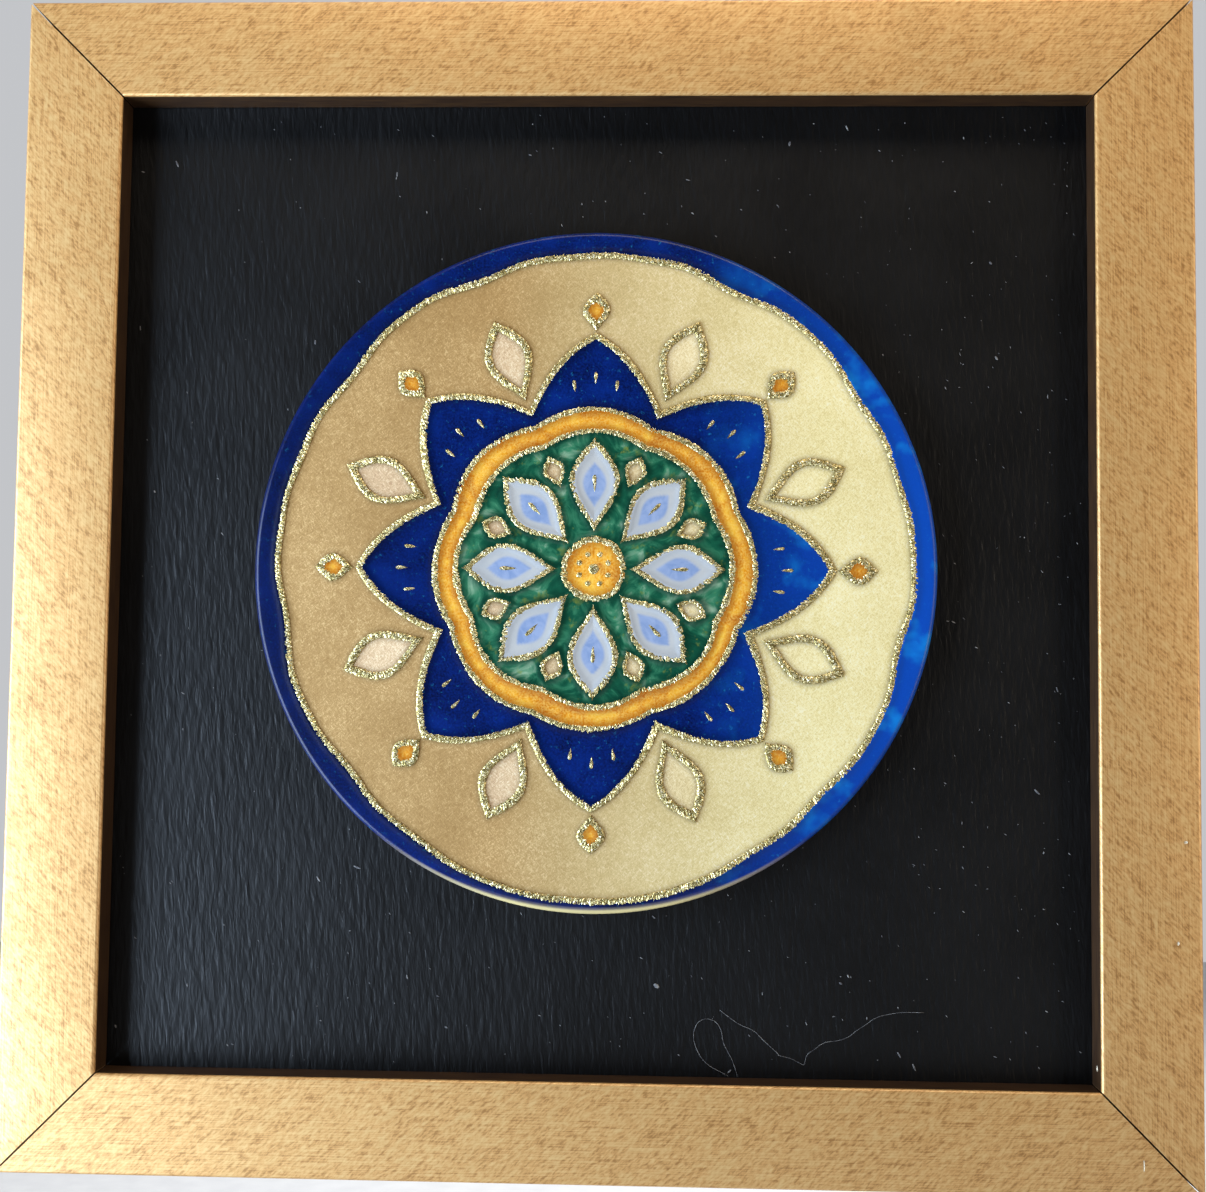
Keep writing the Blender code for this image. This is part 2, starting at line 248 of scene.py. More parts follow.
def makeGiltFoil():
    look = giltFoilLook
    made, tree, shader = newMaterial("hot stamped gold foil", {
        "Roughness": 0.5, "Metallic": 0.5, "Coat Weight": 0.55, "Coat Roughness": 0.3})
    along = add(tree, "UVMap", uv_map="alongRail")
    slanted = add(tree, "Mapping", {"Vector": along, "Rotation": (0, 0, look["slant"])})
    patterns = []
    for name, source in (("flecks", slanted), ("clusters", slanted), ("streaks", along)):
        long, wide, distortion = look[name]
        place = add(tree, "Mapping", {"Vector": source, "Scale": (1 / long, 1 / wide, 1)})
        patterns.append(add(tree, "TexNoise", {"Vector": place, "Scale": 1.0, "Detail": 3.0, "Roughness": 0.6,
                                               "Distortion": distortion}))
    flecks, clusters, streaks = patterns
    total = add(tree, "Math", {0: clusters, 1: look["clusterShare"], 2: flecks}, operation="MULTIPLY_ADD")
    total = add(tree, "Math", {0: streaks, 1: look["streakShare"], 2: total}, operation="MULTIPLY_ADD")
    spread = add(tree, "MapRange", {"Value": total, "From Min": 0.92, "From Max": 1.38})
    tone = add(tree, "ValToRGB", {0: spread},
               stops=((0.0, look["deep"]), (0.42, look["middle"]), (1.0, look["pale"])))
    rough = add(tree, "MapRange", {"Value": clusters, "From Min": 0.3, "From Max": 0.7,
                                   "To Min": look["dullest"], "To Max": look["glossiest"]})
    bump = add(tree, "Bump", {"Height": total, "Strength": look["bumpStrength"],
                              "Distance": look["bumpHeight"]})
    feed(tree, shader, {"Base Color": tone, "Roughness": rough, "Normal": bump})
    return made


def makeLipLacquer():
    # the moulding's inner lip and outer side: dark brown, partly a brown lacquer of its own and partly
    # painted shade, as these faces sit in shade; with streaks along the rail
    streakLength, streakWidth = 9.0 * mm, 0.5 * mm
    made, tree, shader = newMaterial("brown edge with painted shade", {
        "Roughness": 0.45, "Metallic": 0.4, "Coat Weight": 0.3, "Coat Roughness": 0.3})
    along = add(tree, "UVMap", uv_map="alongRail")
    place = add(tree, "Mapping", {"Vector": along, "Scale": (1 / streakLength, 1 / streakWidth, 1)})
    streaks = add(tree, "TexNoise", {"Vector": place, "Scale": 1.0, "Detail": 4.0, "Roughness": 0.65})
    # dark brown tones: partly the edge's own colour, partly painted shade
    tone = add(tree, "ValToRGB", {0: streaks}, stops=((0.35, "#28160A"), (0.66, "#50361C")))
    bump = add(tree, "Bump", {"Height": streaks, "Strength": 0.4, "Distance": 0.03 * mm})
    feed(tree, shader, {"Base Color": tone, "Normal": bump})
    return made


def makeFibre(name, dark, pale, fibreWidth, roughness):
    # pressed wood fibre: matt, with short fibres and darker flecks
    made, tree, shader = newMaterial(name, {"Roughness": roughness, "Specular IOR Level": 0.3})
    fibres = add(tree, "TexNoise", {"Vector": patternAt(tree, fibreWidth, radians(20), (3.0, 1.0, 1.0)),
                                    "Scale": 1.0, "Detail": 6.0, "Roughness": 0.7, "Distortion": 1.2})
    clumps = add(tree, "TexNoise", {"Vector": patternAt(tree, fibreWidth * 12), "Scale": 1.0, "Detail": 2.0})
    mixed = add(tree, "Math", {0: clumps, 1: 0.3, 2: fibres}, operation="MULTIPLY_ADD")
    tone = add(tree, "ValToRGB", {0: mixed}, stops=((0.45, dark), (0.85, pale)))
    bump = add(tree, "Bump", {"Height": fibres, "Strength": 0.6, "Distance": 0.06 * mm})
    feed(tree, shader, {"Base Color": tone, "Normal": bump})
    return made


# Board facing: black PVC leatherette, embossed with upright wrinkles, satin with a cool sheen
leatheretteLook = {
    "dark": "#010101", "pale": "#040405", "glossiest": 0.42, "dullest": 0.48,
    # sizes in millimetres; the real pores are finer, and are drawn this coarse so that they show
    "pore": 0.3, "foldWidth": 0.66, "foldStretch": 4.6, "patch": 22.0,
    "foldLean": radians(4), "poreShare": 0.08, "bumpHeight": 0.13 * mm, "bumpStrength": 0.9,
}


def makeLeatherette():
    look = leatheretteLook
    made, tree, shader = newMaterial("black PVC leatherette", {"Roughness": 0.45, "Specular IOR Level": 0.31})
    pores = add(tree, "TexNoise", {"Vector": patternAt(tree, look["pore"]), "Scale": 1.0, "Detail": 2.0})
    foldAt = patternAt(tree, look["foldWidth"], look["foldLean"], (1.0, 1.0, look["foldStretch"]))
    folds = add(tree, "TexNoise", {"Vector": foldAt, "Scale": 1.0, "Detail": 2.0, "Roughness": 0.45,
                                   "Distortion": 0.4})
    patches = add(tree, "TexNoise", {"Vector": patternAt(tree, look["patch"]), "Scale": 1.0, "Detail": 2.0})
    tone = add(tree, "ValToRGB", {0: folds}, stops=((0.3, look["dark"]), (0.7, look["pale"])))
    rough = add(tree, "MapRange", {"Value": patches, "From Min": 0.3, "From Max": 0.7,
                                   "To Min": look["glossiest"], "To Max": look["dullest"]})
    height = add(tree, "Math", {0: pores, 1: look["poreShare"], 2: folds}, operation="MULTIPLY_ADD")
    bump = add(tree, "Bump", {"Height": height, "Strength": look["bumpStrength"],
                              "Distance": look["bumpHeight"]})
    feed(tree, shader, {"Base Color": tone, "Roughness": rough, "Normal": bump})
    return made


# Enamels: glassy cold enamel poured between the lines, deeper in colour where it thickens at a line
enamelLook = {
    # flow is a size in millimetres. Edge: tone along the lines, share. Grain: size, tone, share.
    # Flecks: size, tone, the level of the noise where they start, share.
    "cobalt": {"stops": ((0.3, "#01082C"), (0.5, "#01134A"), (0.72, "#032168")),
               "flow": 9.0, "distortion": 0.6, "coat": 0.06, "edge": ("#01051A", 0.6),
               "grain": (0.42, "#06297A", 0.5), "flecks": (1.1, "#1C6E96", 0.6, 0.6)},
    "green": {"stops": ((0.28, "#053024"), (0.44, "#125039"), (0.55, "#347454"), (0.7, "#8FAE90")),
              "flow": 5.6, "distortion": 1.3, "coat": 0.6, "edge": ("#03281C", 0.8),
              "flecks": (3.4, "#7E8A34", 0.58, 0.6)},
    "amber": {"stops": ((0.3, "#B05E08"), (0.5, "#D68A14"), (0.7, "#EDBB3E")),
              "flow": 4.6, "distortion": 1.0, "coat": 0.6, "edge": ("#8A4304", 0.7),
              "grain": (0.42, "#F2CE6A", 0.6)},
    "white": {"stops": ((0.3, "#A6A8A8"), (0.7, "#B3B3B0")),
              "flow": 6.0, "distortion": 0.6, "coat": 0.6, "edge": ("#8F9AA6", 0.35)},
}


def makeEnamel(name, look, moreLayers=None):
    made, tree, shader = newMaterial(name, {
        "Roughness": 0.3, "IOR": 1.5, "Specular IOR Level": 0.2, "Coat Weight": look["coat"],
        "Coat Roughness": 0.08})
    flow = add(tree, "TexNoise", {"Vector": patternAt(tree, look["flow"]), "Scale": 1.0, "Detail": 5.0,
                                  "Roughness": 0.58, "Distortion": look["distortion"]})
    layers = []  # shares and the tones that they lay over the flow
    if "grain" in look:
        size, tone, most = look["grain"]
        grains = add(tree, "TexNoise", {"Vector": patternAt(tree, size), "Scale": 1.0, "Detail": 2.0})
        share = add(tree, "MapRange", {"Value": grains, "From Min": 0.35, "From Max": 0.7, "To Max": most})
        layers.append((share, linear(tone)))
    if "flecks" in look:
        size, tone, start, most = look["flecks"]
        spots = add(tree, "TexNoise", {"Vector": patternAt(tree, size), "Scale": 1.0, "Detail": 4.0,
                                       "Roughness": 0.7})
        share = add(tree, "MapRange", {"Value": spots, "From Min": start, "From Max": start + 0.1,
                                       "To Max": most})
        layers.append((share, linear(tone)))
    near = add(tree, "Attribute", attribute_name="nearLine").outputs["Fac"]
    near = add(tree, "Math", {0: near, 1: 2.0}, operation="POWER")
    share = add(tree, "Math", {0: near, 1: look["edge"][1]}, operation="MULTIPLY")
    layers.append((share, linear(look["edge"][0])))
    layers += moreLayers(tree) if moreLayers else []
    tone = add(tree, "ValToRGB", {0: flow}, stops=look["stops"])
    for share, over in layers:
        tone = add(tree, "Mix", {0: share, 6: tone, 7: over}, data_type="RGBA").outputs[2]
    feed(tree, shader, {"Base Color": tone})
    return made


cobaltLayerLook = {
    # the deep tone is painted shade on the left; the pale tone and the pools lie in a painted reflection on
    # the right
    "fadeStart": 20.0 * mm, "fadeEnd": 66.0 * mm, "deep": ("#01051C", 0.55), "pale": ("#1054C4", 0.62),
    "pool": "#1590D8", "poolSize": 9.0, "bareClay": "#CDBB85",
}


def cobaltLayers(tree):
    # painted shade deepens the blue to the left, a painted reflection makes it paler to the right, with thin
    # turquoise pools only within that reflection; worn to the clay at the lower edge
    look = cobaltLayerLook
    across = add(tree, "SeparateXYZ", {0: add(tree, "TexCoord").outputs["Object"]})
    start, end = look["fadeStart"], look["fadeEnd"]
    paintedLeftShade = add(tree, "MapRange", {"Value": across, "From Min": -start, "From Max": -end,
                                    "To Max": look["deep"][1]})
    paintedRightSheen = add(tree, "MapRange", {"Value": across, "From Min": start, "From Max": end,
                                   "To Max": look["pale"][1]})
    pools = add(tree, "TexNoise", {"Vector": patternAt(tree, look["poolSize"]), "Scale": 1.0, "Detail": 3.0,
                                   "Roughness": 0.6})
    thinPoolsInSheen = add(tree, "MapRange", {"Value": pools, "From Min": 0.52, "From Max": 0.7})
    thinPoolsInSheen = add(tree, "Math", {0: thinPoolsInSheen, 1: paintedRightSheen}, operation="MULTIPLY")
    bare = add(tree, "Attribute", attribute_name="bareEdge").outputs["Fac"]
    return [(paintedLeftShade, linear(look["deep"][0])), (paintedRightSheen, linear(look["pale"][0])), (thinPoolsInSheen, linear(look["pool"])),
            (bare, linear(look["bareClay"]))]


def blueCoreLayer(tree):
    core = add(tree, "Attribute", attribute_name="blueCore").outputs["Fac"]
    blue = add(tree, "TexNoise", {"Vector": patternAt(tree, 2.4), "Scale": 1.0, "Detail": 3.0,
                                  "Distortion": 1.0})
    return [(core, add(tree, "ValToRGB", {0: blue}, stops=((0.35, "#768BB0"), (0.65, "#8C9CBB"))))]


# Gold leaf: beaten metal leaf under varnish, finely wrinkled, with brushed hairlines; paler towards the right
# as a painted sheen, and darker beside the raised lines as painted shade
leafLook = {
    # dark, middle and pale tones, and the paler tones of a painted sheen that both leaves turn to on the
    # right
    "gold": ("#A07C48", "#B38F58", "#DAB981"), "rose": ("#BE9A74", "#DDBE94", "#F6E4C0"),
    "paintedSheen": ("#EAD894", "#FFF1B2", "#FFFBDC"), "brightStart": -20.0 * mm, "brightEnd": 45.0 * mm,
    # shade: tone and share of the painted shade beside the raised lines
    "brightShare": 0.9, "shade": ("#6E5526", 0.55), "glossiest": 0.4, "dullest": 0.56,
    # sizes in millimetres
    "wrinkle": 0.42, "wrinkleStretch": 1.5, "hairline": 0.26, "hairlineStretch": 5.0, "cloud": 14.0,
    "hairlineTurns": (radians(-48), radians(40)), "bumpHeight": 0.05 * mm, "bumpStrength": 0.45,
}


def makeGoldLeaf(name, tones):
    look = leafLook
    made, tree, shader = newMaterial(name, {
        "Roughness": 0.48, "Metallic": 0.35, "Coat Weight": 0.2, "Coat Roughness": 0.25})
    wormAt = patternAt(tree, look["wrinkle"], 0.0, (1.0, 1.0, look["wrinkleStretch"]))
    worms = add(tree, "TexNoise", {"Vector": wormAt, "Scale": 1.0, "Detail": 3.0, "Roughness": 0.65,
                                   "Distortion": 1.8})
    brushed = []
    for turn in look["hairlineTurns"]:
        place = patternAt(tree, look["hairline"], turn, (look["hairlineStretch"], 1.0, 1.0))
        brushed.append(add(tree, "TexNoise", {"Vector": place, "Scale": 1.0, "Detail": 2.0,
                                              "Roughness": 0.7}))
    cloud = add(tree, "TexNoise", {"Vector": patternAt(tree, look["cloud"]), "Scale": 1.0, "Detail": 5.0,
                                   "Roughness": 0.55})
    fine = add(tree, "Math", {0: brushed[0], 1: brushed[1]}, operation="MAXIMUM")
    fine = add(tree, "Math", {0: worms, 1: fine}, operation="ADD")
    total = add(tree, "Math", {0: cloud, 1: 0.35, 2: fine}, operation="MULTIPLY_ADD")
    spread = add(tree, "MapRange", {"Value": total, "From Min": 1.02, "From Max": 1.48})
    tone, paintedSheen = [add(tree, "ValToRGB", {0: spread}, stops=tuple(zip((0.0, 0.5, 1.0), trio)))
                    for trio in (tones, look["paintedSheen"])]
    # painted sheen: both leaves turn paler towards the right
    across = add(tree, "SeparateXYZ", {0: add(tree, "TexCoord").outputs["Object"]})
    paintedRightSheen = add(tree, "MapRange", {"Value": across, "From Min": look["brightStart"],
                                   "From Max": look["brightEnd"], "To Max": look["brightShare"]})
    # painted shade: the leaf darkens beside the raised glitter lines
    near = add(tree, "Attribute", attribute_name="nearLine").outputs["Fac"]
    near = add(tree, "Math", {0: near, 1: 4.0}, operation="POWER")
    shade = add(tree, "Math", {0: near, 1: look["shade"][1]}, operation="MULTIPLY")
    for share, over in ((paintedRightSheen, paintedSheen), (shade, linear(look["shade"][0]))):
        tone = add(tree, "Mix", {0: share, 6: tone, 7: over}, data_type="RGBA").outputs[2]
    rough = add(tree, "MapRange", {"Value": cloud, "To Min": look["glossiest"], "To Max": look["dullest"]})
    bump = add(tree, "Bump", {"Height": fine, "Strength": look["bumpStrength"],
                              "Distance": look["bumpHeight"]})
    feed(tree, shader, {"Base Color": tone, "Roughness": rough, "Normal": bump})
    return made


def makeGlitter():
    # gold glitter paste: grains of 0.2 to 0.3 mm, in tones from dark olive to near white, partly the grains'
    # own colours and partly painted glints and painted dark grains
    made, tree, shader = newMaterial("gold glitter paste", {"Roughness": 0.3, "Metallic": 0.8})
    grains = add(tree, "TexVoronoi", {"Vector": patternAt(tree, 0.24), "Scale": 1.0})
    split = add(tree, "SeparateColor", {0: grains.outputs["Color"]})
    # the palest grain tones are painted glints
    tone = add(tree, "ValToRGB", {0: split},
               stops=((0.0, "#6E6034"), (0.35, "#9A8A52"), (0.7, "#C6B681"), (0.88, "#E9DDAA"),
                      (1.0, "#FFF7D8")))
    rough = add(tree, "MapRange", {"Value": split.outputs[1], "To Min": 0.2, "To Max": 0.55})
    bump = add(tree, "Bump", {"Height": split.outputs[2], "Strength": 0.55, "Distance": 0.07 * mm})
    feed(tree, shader, {"Base Color": tone, "Roughness": rough, "Normal": bump})
    return made


def makeMetal(name, dark, pale, roughness, grain):
    # plated sheet steel: rolled grain along X, small differences in gloss
    made, tree, shader = newMaterial(name, {"Roughness": roughness, "Metallic": 1.0})
    rolled = add(tree, "TexNoise", {"Vector": patternAt(tree, grain, 0.0, (18.0, 1.0, 1.0)), "Scale": 1.0,
                                    "Detail": 4.0, "Roughness": 0.6})
    stain = add(tree, "TexNoise", {"Vector": patternAt(tree, 2.5), "Scale": 1.0, "Detail": 4.0})
    mixed = add(tree, "Math", {0: rolled, 1: stain}, operation="MULTIPLY")
    tone = add(tree, "ValToRGB", {0: mixed}, stops=((0.12, dark), (0.38, pale)))
    rough = add(tree, "MapRange", {"Value": stain, "To Min": roughness - 0.08, "To Max": roughness + 0.12})
    bump = add(tree, "Bump", {"Height": rolled, "Strength": 0.3, "Distance": 0.02 * mm})
    feed(tree, shader, {"Base Color": tone, "Roughness": rough, "Normal": bump})
    return made


def makeMottled(name, roughness, specular, size, detail, stops, bumpHeight=0.0, fineness=0.5):
    # a matt surface with one soft mottling, a size in millimetres, and a bump where it has a height
    made, tree, shader = newMaterial(name, {"Roughness": roughness, "Specular IOR Level": specular})
    mottle = add(tree, "TexNoise", {"Vector": patternAt(tree, size), "Scale": 1.0, "Detail": detail,
                                    "Roughness": fineness})
    feed(tree, shader, {"Base Color": add(tree, "ValToRGB", {0: mottle}, stops=stops)})
    if bumpHeight:
        bump = add(tree, "Bump", {"Height": mottle, "Strength": 0.4, "Distance": bumpHeight})
        feed(tree, shader, {"Normal": bump})
    return made


giltFoil = makeGiltFoil()
lipBrownAndShade = makeLipLacquer()
mdfCore = makeFibre("MDF core", "#8A6B48", "#B8966C", 0.5, 0.85)
barePrimer = makeFibre("bare primer", "#C9BCA0", "#EBE1CB", 0.25, 0.8)  # chalky, where the foil is chipped
hardboard = makeFibre("hardboard", "#4A3020", "#7A5638", 0.7, 0.7)
leatherette = makeLeatherette()
cobaltGlaze = makeEnamel("cobalt glaze", enamelLook["cobalt"], cobaltLayers)
cobaltEnamel = makeEnamel("cobalt enamel", enamelLook["cobalt"], cobaltLayers)
greenEnamel = makeEnamel("marbled green enamel", enamelLook["green"])
amberEnamel = makeEnamel("amber enamel", enamelLook["amber"])
whiteEnamel = makeEnamel("opaque white enamel", enamelLook["white"], blueCoreLayer)
goldLeaf = makeGoldLeaf("gold leaf", leafLook["gold"])
roseLeaf = makeGoldLeaf("rose gold leaf", leafLook["rose"])
glitter = makeGlitter()
# fired white clay, unglazed on the disc's back; pale cotton dust and hairs; the floor
bisque = makeMottled("unglazed earthenware", 0.8, 0.3, 0.9, 6.0, ((0.3, "#B9AD98"), (0.6, "#D8CDB9")),
                     0.05 * mm, 0.7)
lint = makeMottled("cotton lint", 0.8, 0.2, 1.2, 2.0, ((0.35, "#48484C"), (0.7, "#8C8C8A")))
paleFloor = makeMottled("pale floor", 0.7, 0.2, 60.0, 4.0, ((0.3, "#D3D4D6"), (0.7, "#DCDDDE")))
zinc = makeMetal("zinc plated steel", "#8E9093", "#C9CBCE", 0.34, 0.15)
brass = makeMetal("brassed steel", "#A8843E", "#DDBB6C", 0.3, 0.15)
print("materials ready")


# Rails: one bar modelled for the top, cut at the mitres and copied round
railForm = {
    "lip": 6.8 * mm, "rebate": 6.0 * mm, "arris": 0.7 * mm, "arrisSteps": 6, "backChamfer": 0.6 * mm,
    "mitreGap": 0.35 * mm, "mitreClosed": 0.01 * mm, "stripLength": 2.5 * mm, "unevenness": 0.03 * mm,
    "waveLength": 9.0 * mm, "room": 0.3 * mm, "pinHole": 1.0 * mm, "smoothAngle": radians(24),
    # chips: x, depth and z from the middle of the frame's front, half sizes across, in and up
    "chips": {
        "right": (((116.7, 0.0, -50.9), (0.42, 0.2, 0.3)), ((115.0, 0.0, -70.7), (0.26, 0.2, 0.4)),
                  ((100.0, 3.4, -96.0), (0.25, 0.4, 0.6))),
        "bottom": (((108.0, 0.0, -113.8), (0.16, 0.12, 1.2)),),
    },
}


def bisectWith(place, normal, fill):
    bpy.ops.mesh.bisect(plane_co=place, plane_no=normal, use_fill=fill, clear_outer=fill)


def makeBar():
    form = railForm
    top, low, front = topHigh.z, topLow.z, railFront
    step = front + form["lip"]
    wall = low + form["rebate"]
    bar = block((0, (front + step) / 2, (top + low) / 2), (2 * halfSide, form["lip"], railWidth))
    edit(bar)
    choose(bar, "FACE", lambda f: f.normal.y > 0.9)
    bisectWith((0, 0, wall), (0, 0, 1), False)
    choose(bar, "FACE", lambda f: f.normal.y > 0.9 and f.calc_center_median().z > wall)
    bpy.ops.mesh.extrude_region_move(TRANSFORM_OT_translate={"value": (0, railBack - step, 0)})
    bpy.ops.mesh.select_mode(type="EDGE")
    choose(bar, "EDGE", lambda e: alongX(e) and abs(middle(e).y - front) < slack)
    bpy.ops.mesh.bevel(offset=form["arris"], segments=form["arrisSteps"], profile=0.5)
    choose(bar, "EDGE", lambda e: alongX(e) and middle(e).y > railBack - slack and middle(e).z > top - slack)
    bpy.ops.mesh.bevel(offset=form["backChamfer"], segments=1)
    choose(bar, "EDGE", alongX)
    bpy.ops.mesh.subdivide(number_cuts=round(2 * halfSide / form["stripLength"]) - 1)
    leaveEdit()
    points = readPoints(bar.data)  # the foil face isn't dead flat
    wave = form["waveLength"]
    for i, (x, y, z) in enumerate(points):
        if y < step - 10 * slack:
            points[i, 1] += noise.noise(Vector((x / wave, z / wave, y / wave))) * form["unevenness"]
    points[:, 1] = np.maximum(points[:, 1], front)
    writePoints(bar.data, points)
    return bar


def mitre(bar):
    # the seam is open at the face and closes towards the back
    gap, closed = railForm["mitreGap"] / sqrt(2), railForm["mitreClosed"]
    taper = (closed - gap) / (railBack - railFront)
    edit(bar)
    for side in (-1, 1):
        bpy.ops.mesh.select_all(action="SELECT")
        bisectWith((side * (halfSide - gap), railFront, topHigh.z), (side, taper, -1), True)
    leaveEdit()
    closeUp(bar)


def cutWith(obj, cutters, **settings):
    for cutter in cutters:
        finishWith(obj, "BOOLEAN", operation="DIFFERENCE", object=cutter, solver="EXACT", **settings)
    for cutter in cutters:
        discard(cutter)


def tabSlots():
    cutters = []
    for i in (1, 2):
        low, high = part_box("board_tab_top_" + str(i))
        room = railForm["room"]
        size = (high.x - low.x + 2 * room, high.y - low.y + 2 * room, high.z - low.z)
        cutters.append(block(((low.x + high.x) / 2, (low.y + high.y) / 2, (low.z + high.z) / 2 + room), size))
    return cutters


def pinHoles():
    cutters = []
    for side in ("left", "right"):
        low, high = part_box("hanger_pin_" + side)
        deep = high.y - low.y
        place = ((low.x + high.x) / 2, low.y + deep / 2 - railForm["room"], (low.z + high.z) / 2)
        bpy.ops.mesh.primitive_cylinder_add(vertices=24, radius=railForm["pinHole"], depth=deep,
                                            location=place, rotation=(pi / 2, 0, 0))
        settle(bpy.context.object)
        cutters.append(bpy.context.object)
    return cutters


def chip(rail, side):
    cutters = []
    for place, size in railForm["chips"][side]:
        spot = frameCentre + Vector((0, railFront, 0)) + Vector(place) * mm
        bpy.ops.mesh.primitive_ico_sphere_add(subdivisions=2, radius=mm, location=spot, scale=size)
        settle(bpy.context.object)
        bpy.context.object.data.materials.append(barePrimer)
        cutters.append(bpy.context.object)
    cutWith(rail, cutters, material_mode="TRANSFER")
    closeUp(rail)
    smooth(rail, railForm["smoothAngle"])


def layFoil(rail, shift):
    # UVs in metres: along the rail, and round its girth from the outer edge; the foil stops at the lip
    mesh = rail.data
    layer = mesh.uv_layers.new(name="alongRail")
    points = readPoints(mesh)
    inward = topHigh.z - points[:, 2]
    deep = points[:, 1] - railFront
    girth = inward + np.where(inward > railWidth / 2, deep, -deep)
    corners = np.empty(len(mesh.loops), int)
    mesh.loops.foreach_get("vertex_index", corners)
    layout = np.stack([points[corners, 0] + shift, girth[corners] + shift], 1)
    layer.data.foreach_set("uv", layout.astype(np.float32).ravel())
    for finish in (giltFoil, mdfCore, lipBrownAndShade):
        mesh.materials.append(finish)
    for face in mesh.polygons:
        centre = face.center
        inner = centre.z < topLow.z + slack and centre.y < railFront + railForm["lip"]
        chamfer = centre.z > topHigh.z - railForm["backChamfer"] and face.normal.y > 0.05
        outer = centre.z > topHigh.z - 5 * slack or chamfer
        if abs(face.normal.x) > 0.5 or not (face.normal.y < -0.05 or inner or outer):
            face.material_index = 1
        elif inner or outer:
            face.material_index = 2


def makeRails():
    foilShift = 0.37  # metres of foil from one rail to the next, so that no two show the same flecks
    bar = makeBar()
    mitre(bar)
    cutWith(bar, tabSlots())
    rails = []
    for i, side in enumerate(("top", "right", "bottom", "left")):
        rail = twin(bar, side + "RailGilt")
        if side == "top":
            cutWith(rail, pinHoles())
        closeUp(rail)
        layFoil(rail, i * foilShift)
        smooth(rail, railForm["smoothAngle"])
        rail.matrix_world = (Matrix.Translation(frameCentre) @ Matrix.Rotation(i * pi / 2, 4, "Y")
                             @ Matrix.Translation(-frameCentre))
        settle(rail)
        if side in railForm["chips"]:
            chip(rail, side)
        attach(rail, "root")
        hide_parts(side + "_rail")
        rails.append(rail)
    discard(bar)
    print("rails done,", sum(len(r.data.polygons) for r in rails), "faces")


# Facing: a sheet with real wrinkles, flat under the disc
facingForm = {
    "stepAcross": 0.36 * mm, "stepUp": 1.15 * mm, "wrinkleWidth": 0.66 * mm, "wrinkleLength": 3.8 * mm,
    # coarser wrinkles lie over the fine ones: times as wide, times as long, share; a slow noise bends both
    "wrinkleHeight": 0.06 * mm, "coarser": (1.9, 1.4, 0.6), "bend": 0.9, "bendSize": (5, 2),
    "proud": 0.12 * mm, "deepest": 0.3 * mm, "underDisc": 3.0 * mm, "discBlend": 1.5 * mm,
    "flatMargin": 1.0 * mm, "smoothAngle": radians(50),
    # creases: path in millimetres from the middle of the frame, and depth
    "creases": ((((-75.6, -55.7), (-72.4, -55.0), (-66.0, -54.5)), 0.1 * mm),
                (((-60.1, -51.0), (-54.0, -50.6), (-48.7, -51.0)), 0.05 * mm),
                (((-49.0, -55.4), (-41.0, -55.4)), 0.05 * mm)),
    "creaseWidth": 0.5 * mm,
}


def distanceToPath(x, z, path):
    nearest = np.full(len(x), 1.0)
    for (ax, az), (bx, bz) in zip(path, path[1:]):
        ax, az, bx, bz = ax * mm, az * mm, bx * mm, bz * mm
        t = np.clip(((x - ax) * (bx - ax) + (z - az) * (bz - az)) / ((bx - ax) ** 2 + (bz - az) ** 2), 0, 1)
        nearest = np.minimum(nearest, np.hypot(x - ax - t * (bx - ax), z - az - t * (bz - az)))
    return nearest


def makeFacing():
    form = facingForm
    side = facingHigh.x - facingLow.x
    centre = (facingLow + facingHigh) / 2
    across, up = round(side / form["stepAcross"]), round(side / form["stepUp"])
    bpy.ops.mesh.primitive_grid_add(x_subdivisions=across, y_subdivisions=up, size=side,
                                    location=(centre.x, facingLow.y, centre.z), rotation=(pi / 2, 0, 0))
    facing = bpy.context.object
    facing.name = facing.data.name = "leatheretteSheet"
    settle(facing)
    points = readPoints(facing.data)
    x, z = points[:, 0] - frameCentre.x, points[:, 2] - frameCentre.z
    u, v = x / form["wrinkleWidth"], z / form["wrinkleLength"]
    bendAcross, bendUp = form["bendSize"]
    coarseAcross, coarseUp, coarseShare = form["coarser"]
    lift = np.empty(len(points))
    for i in range(len(points)):
        bend = noise.noise(Vector((u[i] / bendAcross, v[i] / bendUp, 4.0)))
        first = noise.noise(Vector((u[i] + form["bend"] * bend, v[i], 0.0)))
        second = noise.noise(Vector((u[i] / coarseAcross - bend, v[i] / coarseUp, 9.0)))
        lift[i] = form["wrinkleHeight"] * (first + coarseShare * second)
    for path, depth in form["creases"]:
        away = distanceToPath(x, z, path) / form["creaseWidth"]
        lift -= depth * np.exp(-(away**2))
    fromDisc = np.hypot(points[:, 0] - discCentre.x, points[:, 2] - discCentre.z)
    hidden = discRadius - form["underDisc"]
    lift *= np.clip((fromDisc - hidden) / form["discBlend"], 0, 1)
    points[:, 1] = facingLow.y + np.clip(-lift, -form["proud"], form["deepest"])
    writePoints(facing.data, points)
    edit(facing)
    flat = hidden - form["flatMargin"]
    choose(facing, "FACE", lambda f: (f.calc_center_median() - discCentre).xz.length < flat)
    bpy.ops.mesh.dissolve_faces()
    bpy.ops.mesh.select_all(action="DESELECT")
    bpy.ops.mesh.select_mode(type="EDGE")
    bpy.ops.mesh.select_non_manifold(extend=False, use_wire=False, use_multi_face=False,
                                     use_non_contiguous=False, use_verts=False)
    bpy.ops.mesh.extrude_edges_move(TRANSFORM_OT_translate={"value": (0, facingHigh.y - facingLow.y, 0)})
    bpy.ops.transform.resize(value=(1, 0, 1), center_override=(0, facingHigh.y, 0))
    bpy.ops.mesh.edge_face_add()
    leaveEdit()
    closeUp(facing)
    facing.data.materials.append(leatherette)
    smooth(facing, form["smoothAngle"])
    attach(facing, "root")
    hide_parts("leatherette_facing")
    print("facing done,", len(facing.data.polygons), "faces")


